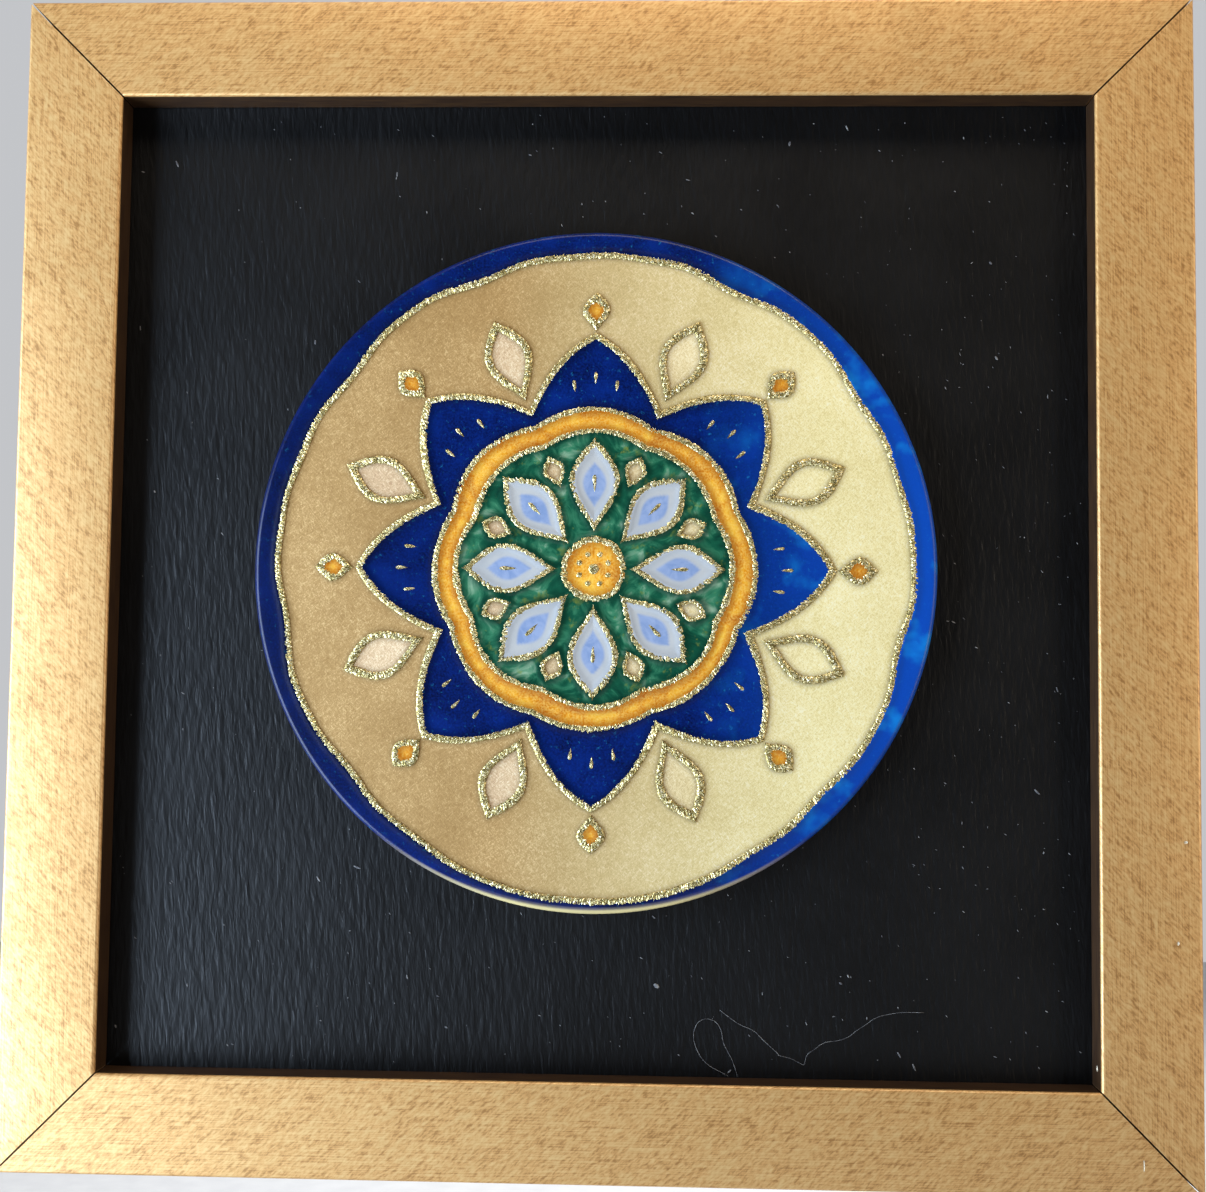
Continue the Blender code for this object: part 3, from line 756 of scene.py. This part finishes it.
# Painted design: the same curves as the solid, as X and Z from the middle of the disc
design = {
    "lineWidth": 1.6 * mm, "lineHeight": 0.45 * mm, "lineSpace": 0.4 * mm, "lensEnd": 1.5, "lensSkew": 1.15,
    "rimWidth": 5.0 * mm, "rimWave": 0.45 * mm, "rimThinning": 2.7 * mm, "thinSpread": radians(32),
    "handWobble": 0.25 * mm, "folds": 8, "rosette": 0.745, "notch": 0.71, "bandOuter": 0.648,
    "bandInner": 0.556, "scallop": 0.03, "heart": 0.125, "petalWidth": 0.19, "leafBase": 0.8,
    "leafTip": 1.12, "leafWidth": 0.17, "dropLength": 0.115, "dropWidth": 0.085, "petalTaper": 0.3,
    "petalPoint": 0.12, "budBase": 0.385, "budTip": 0.505, "budWidth": 0.082,
}
halfLine = design["lineWidth"] / 2
discFront = discLow.y + design["lineHeight"]
groundRadius = discRadius - design["rimWidth"]
rosetteRadius = groundRadius * design["rosette"]


def petalPhase(angle):
    return np.abs((angle / (tau / design["folds"]) + 0.5) % 1.0 - 0.5) * 2  # 0 on a petal, 1 in a notch


def handWobble(angle, phase):
    return design["handWobble"] * (np.sin(3 * angle + phase) + 0.6 * np.sin(7 * angle + 2 * phase))


def rimThinning(angle):
    away = (angle + pi / 2 + pi) % tau - pi
    return np.exp(-((away / design["thinSpread"]) ** 2))


def rimLine(angle):
    thinning = rimThinning(angle)
    wave = np.sin(9 * angle + 0.6) + 0.8 * np.sin(14 * angle + 2.1) + 0.45 * np.sin(23 * angle + 4.0)
    return groundRadius + design["rimThinning"] * thinning + design["rimWave"] * wave * (1 - 0.8 * thinning)


def petalEdge(angle):
    s = petalPhase(angle)
    lobe = np.cos(pi / 2 * s) * (1 - design["petalTaper"] * s) + design["petalPoint"] * (1 - s) ** 4
    lobe /= 1 + design["petalPoint"]
    return rosetteRadius * (design["notch"] + (1 - design["notch"]) * lobe) + handWobble(angle, 0.4)


def scalloped(angle, share, phase):
    rise = design["scallop"] * np.cos(pi / 2 * petalPhase(angle))
    return rosetteRadius * (share + rise) + handWobble(angle, phase)


def bandOuter(angle):
    return scalloped(angle, design["bandOuter"], 1.7)


def bandInner(angle):
    return scalloped(angle, design["bandInner"], 2.9)


def heartEdge(angle):
    return rosetteRadius * design["heart"] + 0.3 * handWobble(angle, 4.2)


def roundLoop(radiusAt, offset, turn):
    angle = pi / 2 + turn
    small = 0.001
    radius = radiusAt(angle)
    slope = (radiusAt(angle + small) - radiusAt(angle - small)) / (2 * small * radius)
    radius = radius + offset * np.sqrt(1 + slope**2)
    return radius * np.cos(angle), radius * np.sin(angle)


def lensLoop(lens, offset, turn):
    angle, base, tip, width = lens
    base = base - offset * design["lensEnd"]
    tip = tip + offset * design["lensEnd"]
    s = (1 - np.cos(turn)) / 2
    across = (width / 2 + offset) * np.sin(pi * s ** design["lensSkew"]) * np.where(turn <= pi, 1, -1)
    along = base + (tip - base) * s
    return along * cos(angle) - across * sin(angle), along * sin(angle) + across * cos(angle)


def insideLens(lens, x, z, share=1.0):
    # over 0 inside the pointed oval, in metres from its edge, measured across it
    angle, base, tip, width = lens
    centre, half = (base + tip) / 2, (tip - base) / 2 * share
    s = (x * cos(angle) + z * sin(angle) - centre + half) / (2 * half)
    clipped = np.clip(s, 0, 1)
    reach = width / 2 * share * np.sin(pi * clipped ** design["lensSkew"])
    gap = reach - np.abs(-x * sin(angle) + z * cos(angle))
    return np.where((s > 0) & (s < 1), gap, -1.0)


def layOutLenses():
    # each lens is an angle, the distances of its base and tip from the middle, and its width
    room = (1 + design["lensEnd"]) * halfLine + design["lineSpace"]
    found = {"petal": [], "leaf": [], "drop": [], "bud": []}
    for k in range(design["folds"]):
        straight = pi / 2 + tau * k / design["folds"]
        between = straight + pi / design["folds"]
        base, tip = float(heartEdge(straight)) + room, float(bandInner(straight)) - room
        found["petal"].append((straight, base, tip, rosetteRadius * design["petalWidth"]))
        base = float(petalEdge(straight)) + room
        tip = base + rosetteRadius * design["dropLength"]
        found["drop"].append((straight, base, tip, rosetteRadius * design["dropWidth"]))
        for kind in ("leaf", "bud"):
            sizes = [rosetteRadius * design[kind + end] for end in ("Base", "Tip", "Width")]
            found[kind].append((between, *sizes))
    return found


lenses = layOutLenses()
roundLines = {"rim": rimLine, "petalEdge": petalEdge, "bandOuter": bandOuter, "bandInner": bandInner,
              "heart": heartEdge}


def loopsOf(kind):
    # the closed curve of one round line, or of every lens of a kind
    if kind in roundLines:
        return [lambda offset, turn: roundLoop(roundLines[kind], offset, turn)]
    return [lambda offset, turn, lens=lens: lensLoop(lens, offset, turn) for lens in lenses[kind]]


# Glitter lines: beads swept along the curves, with a grain as coarse as the paste
beadForm = {
    "stationStep": 0.21 * mm, "archSteps": 6, "archPower": 0.75, "sunk": 0.15 * mm, "footShare": 0.85,
    "grain": 0.055 * mm, "sideGrain": 0.7, "widthPlay": 0.1, "heightShare": 0.9, "heightPlay": 0.06,
    "thickness": {"bud": 0.7},  # shares of the full width, where a line is thinner
    "pieces": {
        "glitterRimLine": ("rim",),
        "glitterRosetteLines": ("petalEdge", "bandOuter", "bandInner", "heart"),
        "glitterPetalLines": ("petal", "bud"),
        "glitterLeafLines": ("leaf", "drop"),
    },
}
dice = np.random.default_rng(11)


def handPlay(turn):
    # slow change along a line, as a hand squeezes the tube
    total = np.zeros(len(turn))
    for beats in (2, 5, 9, 17, 31):
        total += np.sin(beats * turn + dice.uniform(0, tau)) / sqrt(5)
    return total


def loopLength(loopAt):
    turn = np.linspace(0, tau, 400)
    x, z = loopAt(np.zeros(400), turn)
    return np.hypot(np.diff(x), np.diff(z)).sum()


def beadRows(loopAt, thick=1.0):
    form = beadForm
    count = int(loopLength(loopAt) / form["stationStep"])
    turn = np.linspace(0, tau, count, endpoint=False)
    width = halfLine * thick * (1 + form["widthPlay"] * handPlay(turn))
    height = form["heightShare"] + form["heightPlay"] * handPlay(turn)
    height *= design["lineHeight"] * (0.6 + 0.4 * thick)  # a thinner line is a little lower
    rows = []
    for j in range(form["archSteps"] + 1):
        a = pi * j / form["archSteps"]
        jitter = dice.normal(0, form["grain"], (3, count)).clip(-2 * form["grain"], 2 * form["grain"])
        x, z = loopAt(width * cos(a), turn)
        rise = height * sin(a) ** form["archPower"]
        lift = rise + jitter[1] * (0.4 + 0.6 * sin(a))  # the grain is finer at the foot
        top = np.minimum(lift, design["lineHeight"])
        dx, dz = jitter[0] * form["sideGrain"], jitter[2] * form["sideGrain"]
        rows.append(np.stack([x + dx, discFront - top, z + dz], 1))
    for side in (-1, 1):
        x, z = loopAt(side * form["footShare"] * width, turn)
        rows.append(np.stack([x, np.full(count, discFront + form["sunk"]), z], 1))
    return rows


def ringMesh(name, allRows):
    # each list of rows is a closed band of rings; all go into one mesh
    points, faces, start = [], [], 0
    for rows in allRows:
        count, rings = len(rows[0]), len(rows)
        placed = np.concatenate(rows)
        placed[:, 0] += discCentre.x
        placed[:, 2] += discCentre.z
        points.append(placed)
        i = np.arange(count)
        j = (i + 1) % count
        for k in range(rings):
            a, b = start + k * count, start + (k + 1) % rings * count
            faces.append(np.stack([a + i, a + j, b + j, b + i], 1))
        start += count * rings
    made = newObject(name, np.concatenate(points).tolist(), np.concatenate(faces).tolist())
    closeUp(made)
    made.data.materials.append(glitter)
    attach(made, "root")
    return made


def makeLines():
    made = []
    thickness = beadForm["thickness"]
    for name, kinds in beadForm["pieces"].items():
        beads = [beadRows(loopAt, thickness.get(kind, 1.0)) for kind in kinds for loopAt in loopsOf(kind)]
        made.append(ringMesh(name, beads))
    print("lines done,", sum(len(m.data.polygons) for m in made), "faces")


# Glitter dots and tears, squeezed on the enamels
dotForm = {
    "heartDot": 1.1 * mm, "heartRing": 3.2 * mm, "ringDot": 0.56 * mm, "ringCount": 8,
    "coreTear": (3.6 * mm, 0.55 * mm), "lobeTear": (2.5 * mm, 0.5 * mm), "lobeFan": radians(6.6),
    "lobeReach": 0.815, "lobeSideDrop": 0.03, "coreReach": 0.52, "height": 0.252 * mm, "poolRise": 0.1 * mm,
    "grain": 0.035 * mm,
}


def makeDot(x, z, angle, length, half):
    # a dot or a tear with its round head outwards, pointing along angle
    bpy.ops.mesh.primitive_uv_sphere_add(segments=14, ring_count=8, radius=1.0)
    dot = bpy.context.object
    points = readPoints(dot.data)
    across, out, rise = points[:, 0], points[:, 1], points[:, 2]
    isRound = length <= 2.2 * half
    taper = 1.0 if isRound else 0.62 + 0.45 * np.clip(out, -1, 1)  # a tear narrows to its tail
    u = out * length / 2
    v = across * half * taper
    wobble = dice.normal(0, dotForm["grain"], (3, len(points)))
    lift = dotForm["poolRise"] + rise * dotForm["height"] * np.maximum(taper, 0.45)
    px = x + u * cos(angle) - v * sin(angle) + wobble[0]
    pz = z + u * sin(angle) + v * cos(angle) + wobble[1]
    py = discFront - np.minimum(lift + wobble[2] * 0.6, design["lineHeight"])
    writePoints(dot.data, np.stack([discCentre.x + px, py, discCentre.z + pz], 1))
    return dot


def makeDots():
    form = dotForm
    spots = [(0, 0, 2 * form["heartDot"], form["heartDot"])]  # reach, angle, length, half width
    for k in range(form["ringCount"]):
        angle = pi / 2 + tau * (k + 0.5) / form["ringCount"]
        spots.append((form["heartRing"], angle, 2 * form["ringDot"], form["ringDot"]))
    for angle, base, tip, _ in lenses["petal"]:
        spots.append((base + (tip - base) * form["coreReach"], angle, *form["coreTear"]))
    for k in range(design["folds"]):
        straight = pi / 2 + tau * k / design["folds"]
        for side in (-1, 0, 1):
            reach = rosetteRadius * (form["lobeReach"] - form["lobeSideDrop"] * abs(side))
            spots.append((reach, straight + side * form["lobeFan"], *form["lobeTear"]))
    dots = [makeDot(reach * cos(angle), reach * sin(angle), angle, length, half)
            for reach, angle, length, half in spots]
    made = join("glitterDots", dots)
    closeUp(made)
    made.data.materials.append(glitter)
    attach(made, "root")
    print("dots done,", len(made.data.polygons), "faces")


# Disc: a turned tile; its front takes the pools of enamel and the wrinkled leaf
discForm = {
    "steps": 576, "coarse": 0.8 * mm, "coarseTo": 8.0 * mm, "fine": 0.5 * mm, "arris": 0.9 * mm,
    "arrisSteps": 7, "backChamfer": 0.6 * mm, "sideSteps": 5, "poolDepth": 0.12 * mm, "poolSwell": 0.35,
    "swellScale": 7.0 * mm, "meniscus": 0.2 * mm, "meniscusReach": 0.45 * mm, "rimDepth": 0.16 * mm,
    "edgeReach": 2.4 * mm, "leafWrinkle": 0.03 * mm, "leafScale": 1.7 * mm, "leafMeniscus": 0.06 * mm,
    # attributes that the enamels and the leaf read: the nearness of the lines (deeper enamel where it
    # thickens there, painted shade on the leaf), the petals' blue cores, the bare edge below
    "shadeReach": 2.2 * mm, "coreShare": 0.52, "coreBlend": 0.6 * mm, "bareWidth": 1.3 * mm,
    "bareBlend": 0.8 * mm, "lineStep": 0.25 * mm, "smoothAngle": radians(60),
}
# the finish of each region of the front, and of the back
finishes = {"ground": goldLeaf, "rim": cobaltGlaze, "cobalt": cobaltEnamel, "amber": amberEnamel,
            "green": greenEnamel, "white": whiteEnamel, "rose": roseLeaf, "back": bisque}
regionNames = list(finishes)


def discStations():
    form = discForm
    flat = discRadius - form["arris"]
    radii = [0.0]
    while radii[-1] < flat:
        radii.append(radii[-1] + (form["coarse"] if radii[-1] < form["coarseTo"] else form["fine"]))
    radii[-1] = flat
    stations = [(discFront, r) for r in radii]
    for i in range(1, form["arrisSteps"] + 1):
        a = pi / 2 * i / form["arrisSteps"]
        stations.append((discFront + form["arris"] * (1 - cos(a)), flat + form["arris"] * sin(a)))
    sideEnd = discHigh.y - form["backChamfer"]
    start = stations[-1][0]
    stations += [(start + (sideEnd - start) * i / form["sideSteps"], discRadius)
                 for i in range(1, form["sideSteps"] + 1)]
    stations += [(discHigh.y, r) for r in (discRadius - form["backChamfer"], discRadius / 2, 0.0)]
    return stations


def regionAt(x, z):
    r, angle = np.hypot(x, z), np.arctan2(z, x)
    region = np.zeros(len(x), int)
    for name, edge in (("cobalt", petalEdge), ("amber", bandOuter), ("green", bandInner)):
        region[r < edge(angle)] = regionNames.index(name)
    for kind, name in (("petal", "white"), ("leaf", "rose"), ("drop", "amber"), ("bud", "rose")):
        for lens in lenses[kind]:
            region[insideLens(lens, x, z) > 0] = regionNames.index(name)
    region[r < heartEdge(angle)] = regionNames.index("amber")
    region[r > rimLine(angle)] = regionNames.index("rim")
    return region


def lineTree():
    # points along the middle of every line, for the distance to the nearest one
    spots = []
    for loopAt in [loopAt for kind in (*roundLines, *lenses) for loopAt in loopsOf(kind)]:
        count = int(loopLength(loopAt) / discForm["lineStep"])
        x, z = loopAt(np.zeros(count), np.linspace(0, tau, count, endpoint=False))
        spots += list(zip(x, z))
    tree = kdtree.KDTree(len(spots))
    for i, (x, z) in enumerate(spots):
        tree.insert((x, 0.0, z), i)
    tree.balance()
    return tree


def makeDisc():
    form = discForm
    disc = turned("ceramicDisc", discStations(), discCentre, form["steps"])
    mesh = disc.data
    points = readPoints(mesh)
    x, z = points[:, 0] - discCentre.x, points[:, 2] - discCentre.z
    r, angle = np.hypot(x, z), np.arctan2(z, x)
    tree = lineTree()
    away = np.array([tree.find((a, 0.0, b))[2] for a, b in zip(x, z)]) - halfLine
    region = regionAt(x, z)
    front = points[:, 1] < discFront + form["arris"] * 0.999
    close = np.exp(-np.maximum(away, 0) / form["meniscusReach"])
    swell = np.array([noise.noise(Vector((a, 0, b)) / form["swellScale"]) for a, b in zip(x, z)])
    crinkle = np.array([noise.noise(Vector((a, 3 * mm, b)) / form["leafScale"]) for a, b in zip(x, z)])
    pool = form["poolDepth"] * (1 + form["poolSwell"] * swell) + form["meniscus"] * close
    leaf = form["leafWrinkle"] * crinkle + form["leafMeniscus"] * close
    toEdge = np.clip((discRadius - r) / form["edgeReach"], 0, 1)
    rim = (form["rimDepth"] + form["meniscus"] * close) * np.sin(pi / 2 * toEdge) ** 0.5
    isLeaf = (region == regionNames.index("ground")) | (region == regionNames.index("rose"))
    lift = np.where(region == regionNames.index("rim"), rim, np.where(isLeaf, leaf, pool))
    points[:, 1] -= np.where(front, lift * np.clip((discRadius - r) / form["arris"], 0, 1), 0)
    writePoints(mesh, points)
    # nearLine: deeper enamel at the lines, and painted shade beside them on the leaf
    addAttribute(mesh, "nearLine", np.clip(1 - away / form["shadeReach"], 0, 1))
    core = np.zeros(len(x))
    for lens in lenses["petal"]:
        inside = insideLens(lens, x, z, form["coreShare"])
        core = np.maximum(core, np.clip(inside / form["coreBlend"] + 0.5, 0, 1))
    addAttribute(mesh, "blueCore", core)
    bare = rimThinning(angle) * np.clip((r - discRadius + form["bareWidth"]) / form["bareBlend"], 0, 1)
    addAttribute(mesh, "bareEdge", np.clip(bare * 1.6 - 0.35, 0, 1))
    for finish in finishes.values():
        mesh.materials.append(finish)
    centres = np.array([f.center for f in mesh.polygons])
    slots = regionAt(centres[:, 0] - discCentre.x, centres[:, 2] - discCentre.z)
    slots[np.array([f.normal.y for f in mesh.polygons]) > 0.3] = regionNames.index("back")
    mesh.polygons.foreach_set("material_index", slots)
    smooth(disc, form["smoothAngle"])
    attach(disc, "root")
    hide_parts("ceramic_disc")
    print("disc done,", len(mesh.polygons), "faces")


# Dust and hairs on the facing, as millimetres from the middle of the frame
dustForm = {
    "count": 420, "smallest": 0.05 * mm, "spread": 0.03 * mm, "stretch": (1.0, 4.5), "lean": radians(-50),
    "leanSpread": 0.5, "flatness": 0.4, "lift": 0.1 * mm, "hairLift": 0.12 * mm, "margin": 1.5 * mm,
    "discMargin": 1.0 * mm, "leftShare": 0.25,
    "large": ((12.5, -82.0, 0.45), (-97.6, 86.2, 0.16), (-83.7, -83.5, 0.18), (27.4, -98.8, 0.2),
              (64.5, -97.3, 0.2), (61.5, -94.9, 0.18)),
    "hairWidth": 0.09 * mm,
    "hairs": (
        ((25.4, -86.6), (28.0, -88.6), (29.9, -89.7), (32.3, -90.5), (33.9, -92.2), (35.7, -93.8),
         (37.3, -95.2), (37.2, -95.5), (39.7, -95.9), (42.3, -97.3), (42.5, -97.2), (42.9, -95.1),
         (44.3, -94.3), (46.4, -92.6), (48.8, -92.4), (51.2, -91.7), (52.8, -90.3), (55.0, -88.9),
         (56.6, -87.6), (59.4, -86.8), (62.7, -86.3), (66.5, -86.4)),
        ((29.0, -99.8), (28.4, -97.4), (27.0, -94.8), (26.0, -93.0), (25.8, -90.8), (24.8, -89.0),
         (23.0, -88.3), (21.4, -88.7), (20.4, -89.9), (20.0, -92.1), (20.6, -94.3), (21.8, -96.5),
         (23.6, -98.0), (25.8, -99.0), (27.2, -99.8)),
    ),
}


def onFacing(x, z, lift):
    return Vector((frameCentre.x + x, facingLow.y - lift, frameCentre.z + z))


def makeHair(path):
    curve = bpy.data.curves.new("hair", "CURVE")
    curve.dimensions = "3D"
    curve.bevel_depth = dustForm["hairWidth"] / 2
    curve.bevel_resolution = 0
    curve.resolution_u = 6
    curve.use_fill_caps = True
    line = curve.splines.new("NURBS")
    line.points.add(len(path) - 1)
    line.order_u = 3
    line.use_endpoint_u = True
    for point, (x, z) in zip(line.points, path):
        point.co = (*onFacing(x * mm, z * mm, dustForm["hairLift"]), 1)
    pick(show(bpy.data.objects.new("hair", curve)))
    bpy.ops.object.convert(target="MESH")
    return bpy.context.object


def makeDust():
    form = dustForm
    flakes = [makeHair(path) for path in form["hairs"]]
    spots = [(x * mm, z * mm, size * mm) for x, z, size in form["large"]]
    half = opening / 2 - form["margin"]
    while len(spots) < form["count"]:
        x, z = dice.uniform(-half, half, 2)
        away = np.hypot(x - (discCentre.x - frameCentre.x), z - (discCentre.z - frameCentre.z))
        chance = form["leftShare"] + (1 - form["leftShare"]) * (x / half + 1) / 2  # more dust to the right
        if away < discRadius + form["discMargin"] or dice.random() > chance:
            continue
        spots.append((x, z, form["smallest"] + dice.exponential(form["spread"])))
    bpy.ops.mesh.primitive_ico_sphere_add(subdivisions=1, radius=1)
    grain = bpy.context.object
    corners = readPoints(grain.data)
    sides = np.array([list(f.vertices) for f in grain.data.polygons])
    points, faces = [], []
    for x, z, size in spots:
        long, turn = dice.uniform(*form["stretch"]), dice.normal(form["lean"], form["leanSpread"])
        u, v = corners[:, 0] * size * long, corners[:, 2] * size
        place = onFacing(x, z, form["lift"])
        faces.append(sides + sum(len(p) for p in points))
        points.append(np.stack([place.x + u * cos(turn) - v * sin(turn),
                                place.y + corners[:, 1] * size * form["flatness"],
                                place.z + u * sin(turn) + v * cos(turn)], 1))
    discard(grain)
    flakes.append(newObject("specks", np.concatenate(points).tolist(), np.concatenate(faces).tolist()))
    dust = join("dustAndHair", flakes)
    closeUp(dust)
    dust.data.materials.clear()
    dust.data.materials.append(lint)
    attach(dust, "root")
    print("dust done,", len(dust.data.polygons), "faces")


# Tabs, hanger and pins on the back
backForm = {
    "tabEdge": 0.08 * mm, "tabRound": 0.985, "tabRoundSteps": 8, "plateEdge": 0.1 * mm,
    "pinShank": 0.7 * mm, "pinPoint": 1.4 * mm, "pinTip": 0.1 * mm, "pinDome": 0.8 * mm, "domeSteps": 6,
}


def makeTab(name, nodeName):
    form = backForm
    low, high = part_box(nodeName)
    size, place = high - low, (low + high) / 2
    tab = block(place, size)
    tab.name = tab.data.name = name
    inward = Vector((frameCentre.x, place.y, frameCentre.z)) - place
    lengthwise = Vector((1, 0, 0)) if size.x > size.z else Vector((0, 0, 1))
    inward = lengthwise * (1 if inward.dot(lengthwise) > 0 else -1)
    end = place.dot(inward) + max(size.x, size.z) / 2
    edit(tab, "EDGE")
    choose(tab, "EDGE", lambda e: abs(middle(e).dot(inward) - end) < slack
           and abs((e.verts[0].co - e.verts[1].co).normalized().y) > 0.9)
    bpy.ops.mesh.bevel(offset=min(size.x, size.z) / 2 * form["tabRound"], segments=form["tabRoundSteps"])
    leaveEdit()
    finishWith(tab, "BEVEL", width=form["tabEdge"], segments=2, limit_method="ANGLE", angle_limit=radians(50))
    closeUp(tab)
    tab.data.materials.append(zinc)
    smooth(tab)
    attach(tab, "root")
    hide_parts(nodeName)


def makePlate():
    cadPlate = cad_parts["sawtooth_hanger"]
    plate = show(bpy.data.objects.new("sawtoothPlate", cadPlate.data.copy()))
    plate.matrix_world = cadPlate.matrix_world.copy()
    settle(plate)
    plate.data.materials.clear()
    closeUp(plate)
    edit(plate)
    bpy.ops.mesh.select_all(action="SELECT")
    bpy.ops.mesh.dissolve_limited(angle_limit=radians(1))
    leaveEdit()
    finishWith(plate, "BEVEL", width=backForm["plateEdge"], segments=2, limit_method="ANGLE",
               angle_limit=radians(20))
    closeUp(plate)
    plate.data.materials.append(brass)
    smooth(plate)
    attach(plate, "root")
    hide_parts("sawtooth_hanger")


def makePin(name, nodeName):
    form = backForm
    low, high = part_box(nodeName)
    shank, head, rise = form["pinShank"], (high.x - low.x) / 2, form["pinDome"]
    neck = high.y - rise
    turns = [pi / 2 * i / form["domeSteps"] for i in range(form["domeSteps"])]
    stations = [(low.y, 0.0), (low.y, form["pinTip"]), (low.y + form["pinPoint"], shank), (neck, shank)]
    stations += [(neck + rise * sin(a), head * cos(a)) for a in turns] + [(high.y, 0.0)]
    pin = turned(name, stations, (low + high) / 2, 32)
    pin.data.materials.append(brass)
    smooth(pin)
    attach(pin, "root")
    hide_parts(nodeName)


def makeBackFittings():
    for side in ("top", "right", "bottom", "left"):
        for i in ("1", "2"):
            makeTab(side + "Tab" + i, "board_tab_" + side + "_" + i)
    makePlate()
    for side in ("left", "right"):
        makePin(side + "Pin", "hanger_pin_" + side)
    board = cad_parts["backing_board"]
    board.data.materials.clear()
    board.data.materials.append(hardboard)
    print("back fittings done")


makeRails()
makeFacing()
makeDisc()
makeLines()
makeDots()
makeDust()
makeBackFittings()

# Floor, light and camera
studio = {
    "eye": (11.99 * mm, -338.16 * mm, -134.12 * mm), "look": (-0.03469, 0.99779, 0.05672),
    "up": (-0.00906, -0.05706, 0.99833), "lens": 46.797,
    "floorSize": 12.0, "floorHeight": -1.2,  # the picture hangs well above the floor
    # a pale backdrop; its light is dim straight in front, so that the black stays black
    "worldTone": "#E2E4E8", "worldFront": 0.01, "worldBehind": 0.72, "fadeStart": -0.6, "fadeEnd": 0.0,
    "backdrop": 0.72,
    # each light: place from the middle of the frame, size across and up, power in watts, colour
    "lights": {
        "leftWide": ((-0.39, -0.19, -0.12), (0.32, 0.5), 6.9, "#CFE5FF"),
        "topSoft": ((0.03, -0.18, 0.36), (0.4, 0.12), 1.0, "#FFF0DC"),
        "rightSoft": ((0.5, -0.27, 0.03), (0.3, 0.4), 1.25, "#FFF0DC"),
        "backSoft": ((0.5, 3.6, 2.2), (3.0, 3.0), 190.0, "#FFFFFF"),
    },
}


def makeStudio():
    bpy.ops.mesh.primitive_plane_add(size=studio["floorSize"], location=(0, 0, studio["floorHeight"]))
    floor = bpy.context.object
    floor.name = "paleFloor"
    settle(floor)
    floor.data.materials.append(paleFloor)
    middleOfFront = frameCentre + Vector((0, railFront, 0))
    for name, (place, size, power, tone) in studio["lights"].items():
        lamp = bpy.data.lights.new(name, "AREA")
        lamp.shape = "RECTANGLE"
        lamp.size, lamp.size_y = size
        lamp.energy = power
        lamp.color = linear(tone)[:3]
        placed = show(bpy.data.objects.new(name, lamp))
        placed.visible_camera = False
        placed.location = middleOfFront + Vector(place)
        placed.rotation_euler = (-Vector(place)).to_track_quat("-Z", "Y").to_euler()
    world = bpy.data.worlds.new("pale surround")
    bpy.context.scene.world = world
    world.use_nodes = True
    tree = world.node_tree
    depth = add(tree, "SeparateXYZ", {0: add(tree, "TexCoord").outputs["Generated"]}).outputs[1]
    fade = add(tree, "MapRange", {
        "Value": depth, "From Min": studio["fadeStart"], "From Max": studio["fadeEnd"],
        "To Min": studio["worldFront"], "To Max": studio["worldBehind"]}, interpolation_type="SMOOTHSTEP")
    seen = add(tree, "LightPath").outputs["Is Camera Ray"]
    strength = add(tree, "Mix", {0: seen, 2: fade, 3: studio["backdrop"]})
    feed(tree, tree.nodes["Background"], {"Color": linear(studio["worldTone"]), "Strength": strength})
    lens = bpy.data.cameras.new("camera")
    lens.lens = studio["lens"]
    lens.sensor_width = 36.0
    lens.sensor_fit = "HORIZONTAL"
    lens.clip_start = 0.01
    camera = show(bpy.data.objects.new("camera", lens))
    look = Vector(studio["look"]).normalized()
    right = look.cross(Vector(studio["up"])).normalized()
    up = right.cross(look)
    turn = Matrix((right, up, -look)).transposed().to_4x4()
    camera.matrix_world = Matrix.Translation(studio["eye"]) @ turn
    bpy.context.scene.camera = camera
    bpy.context.scene.view_settings.view_transform = "Standard"
    print("studio done")


makeStudio()
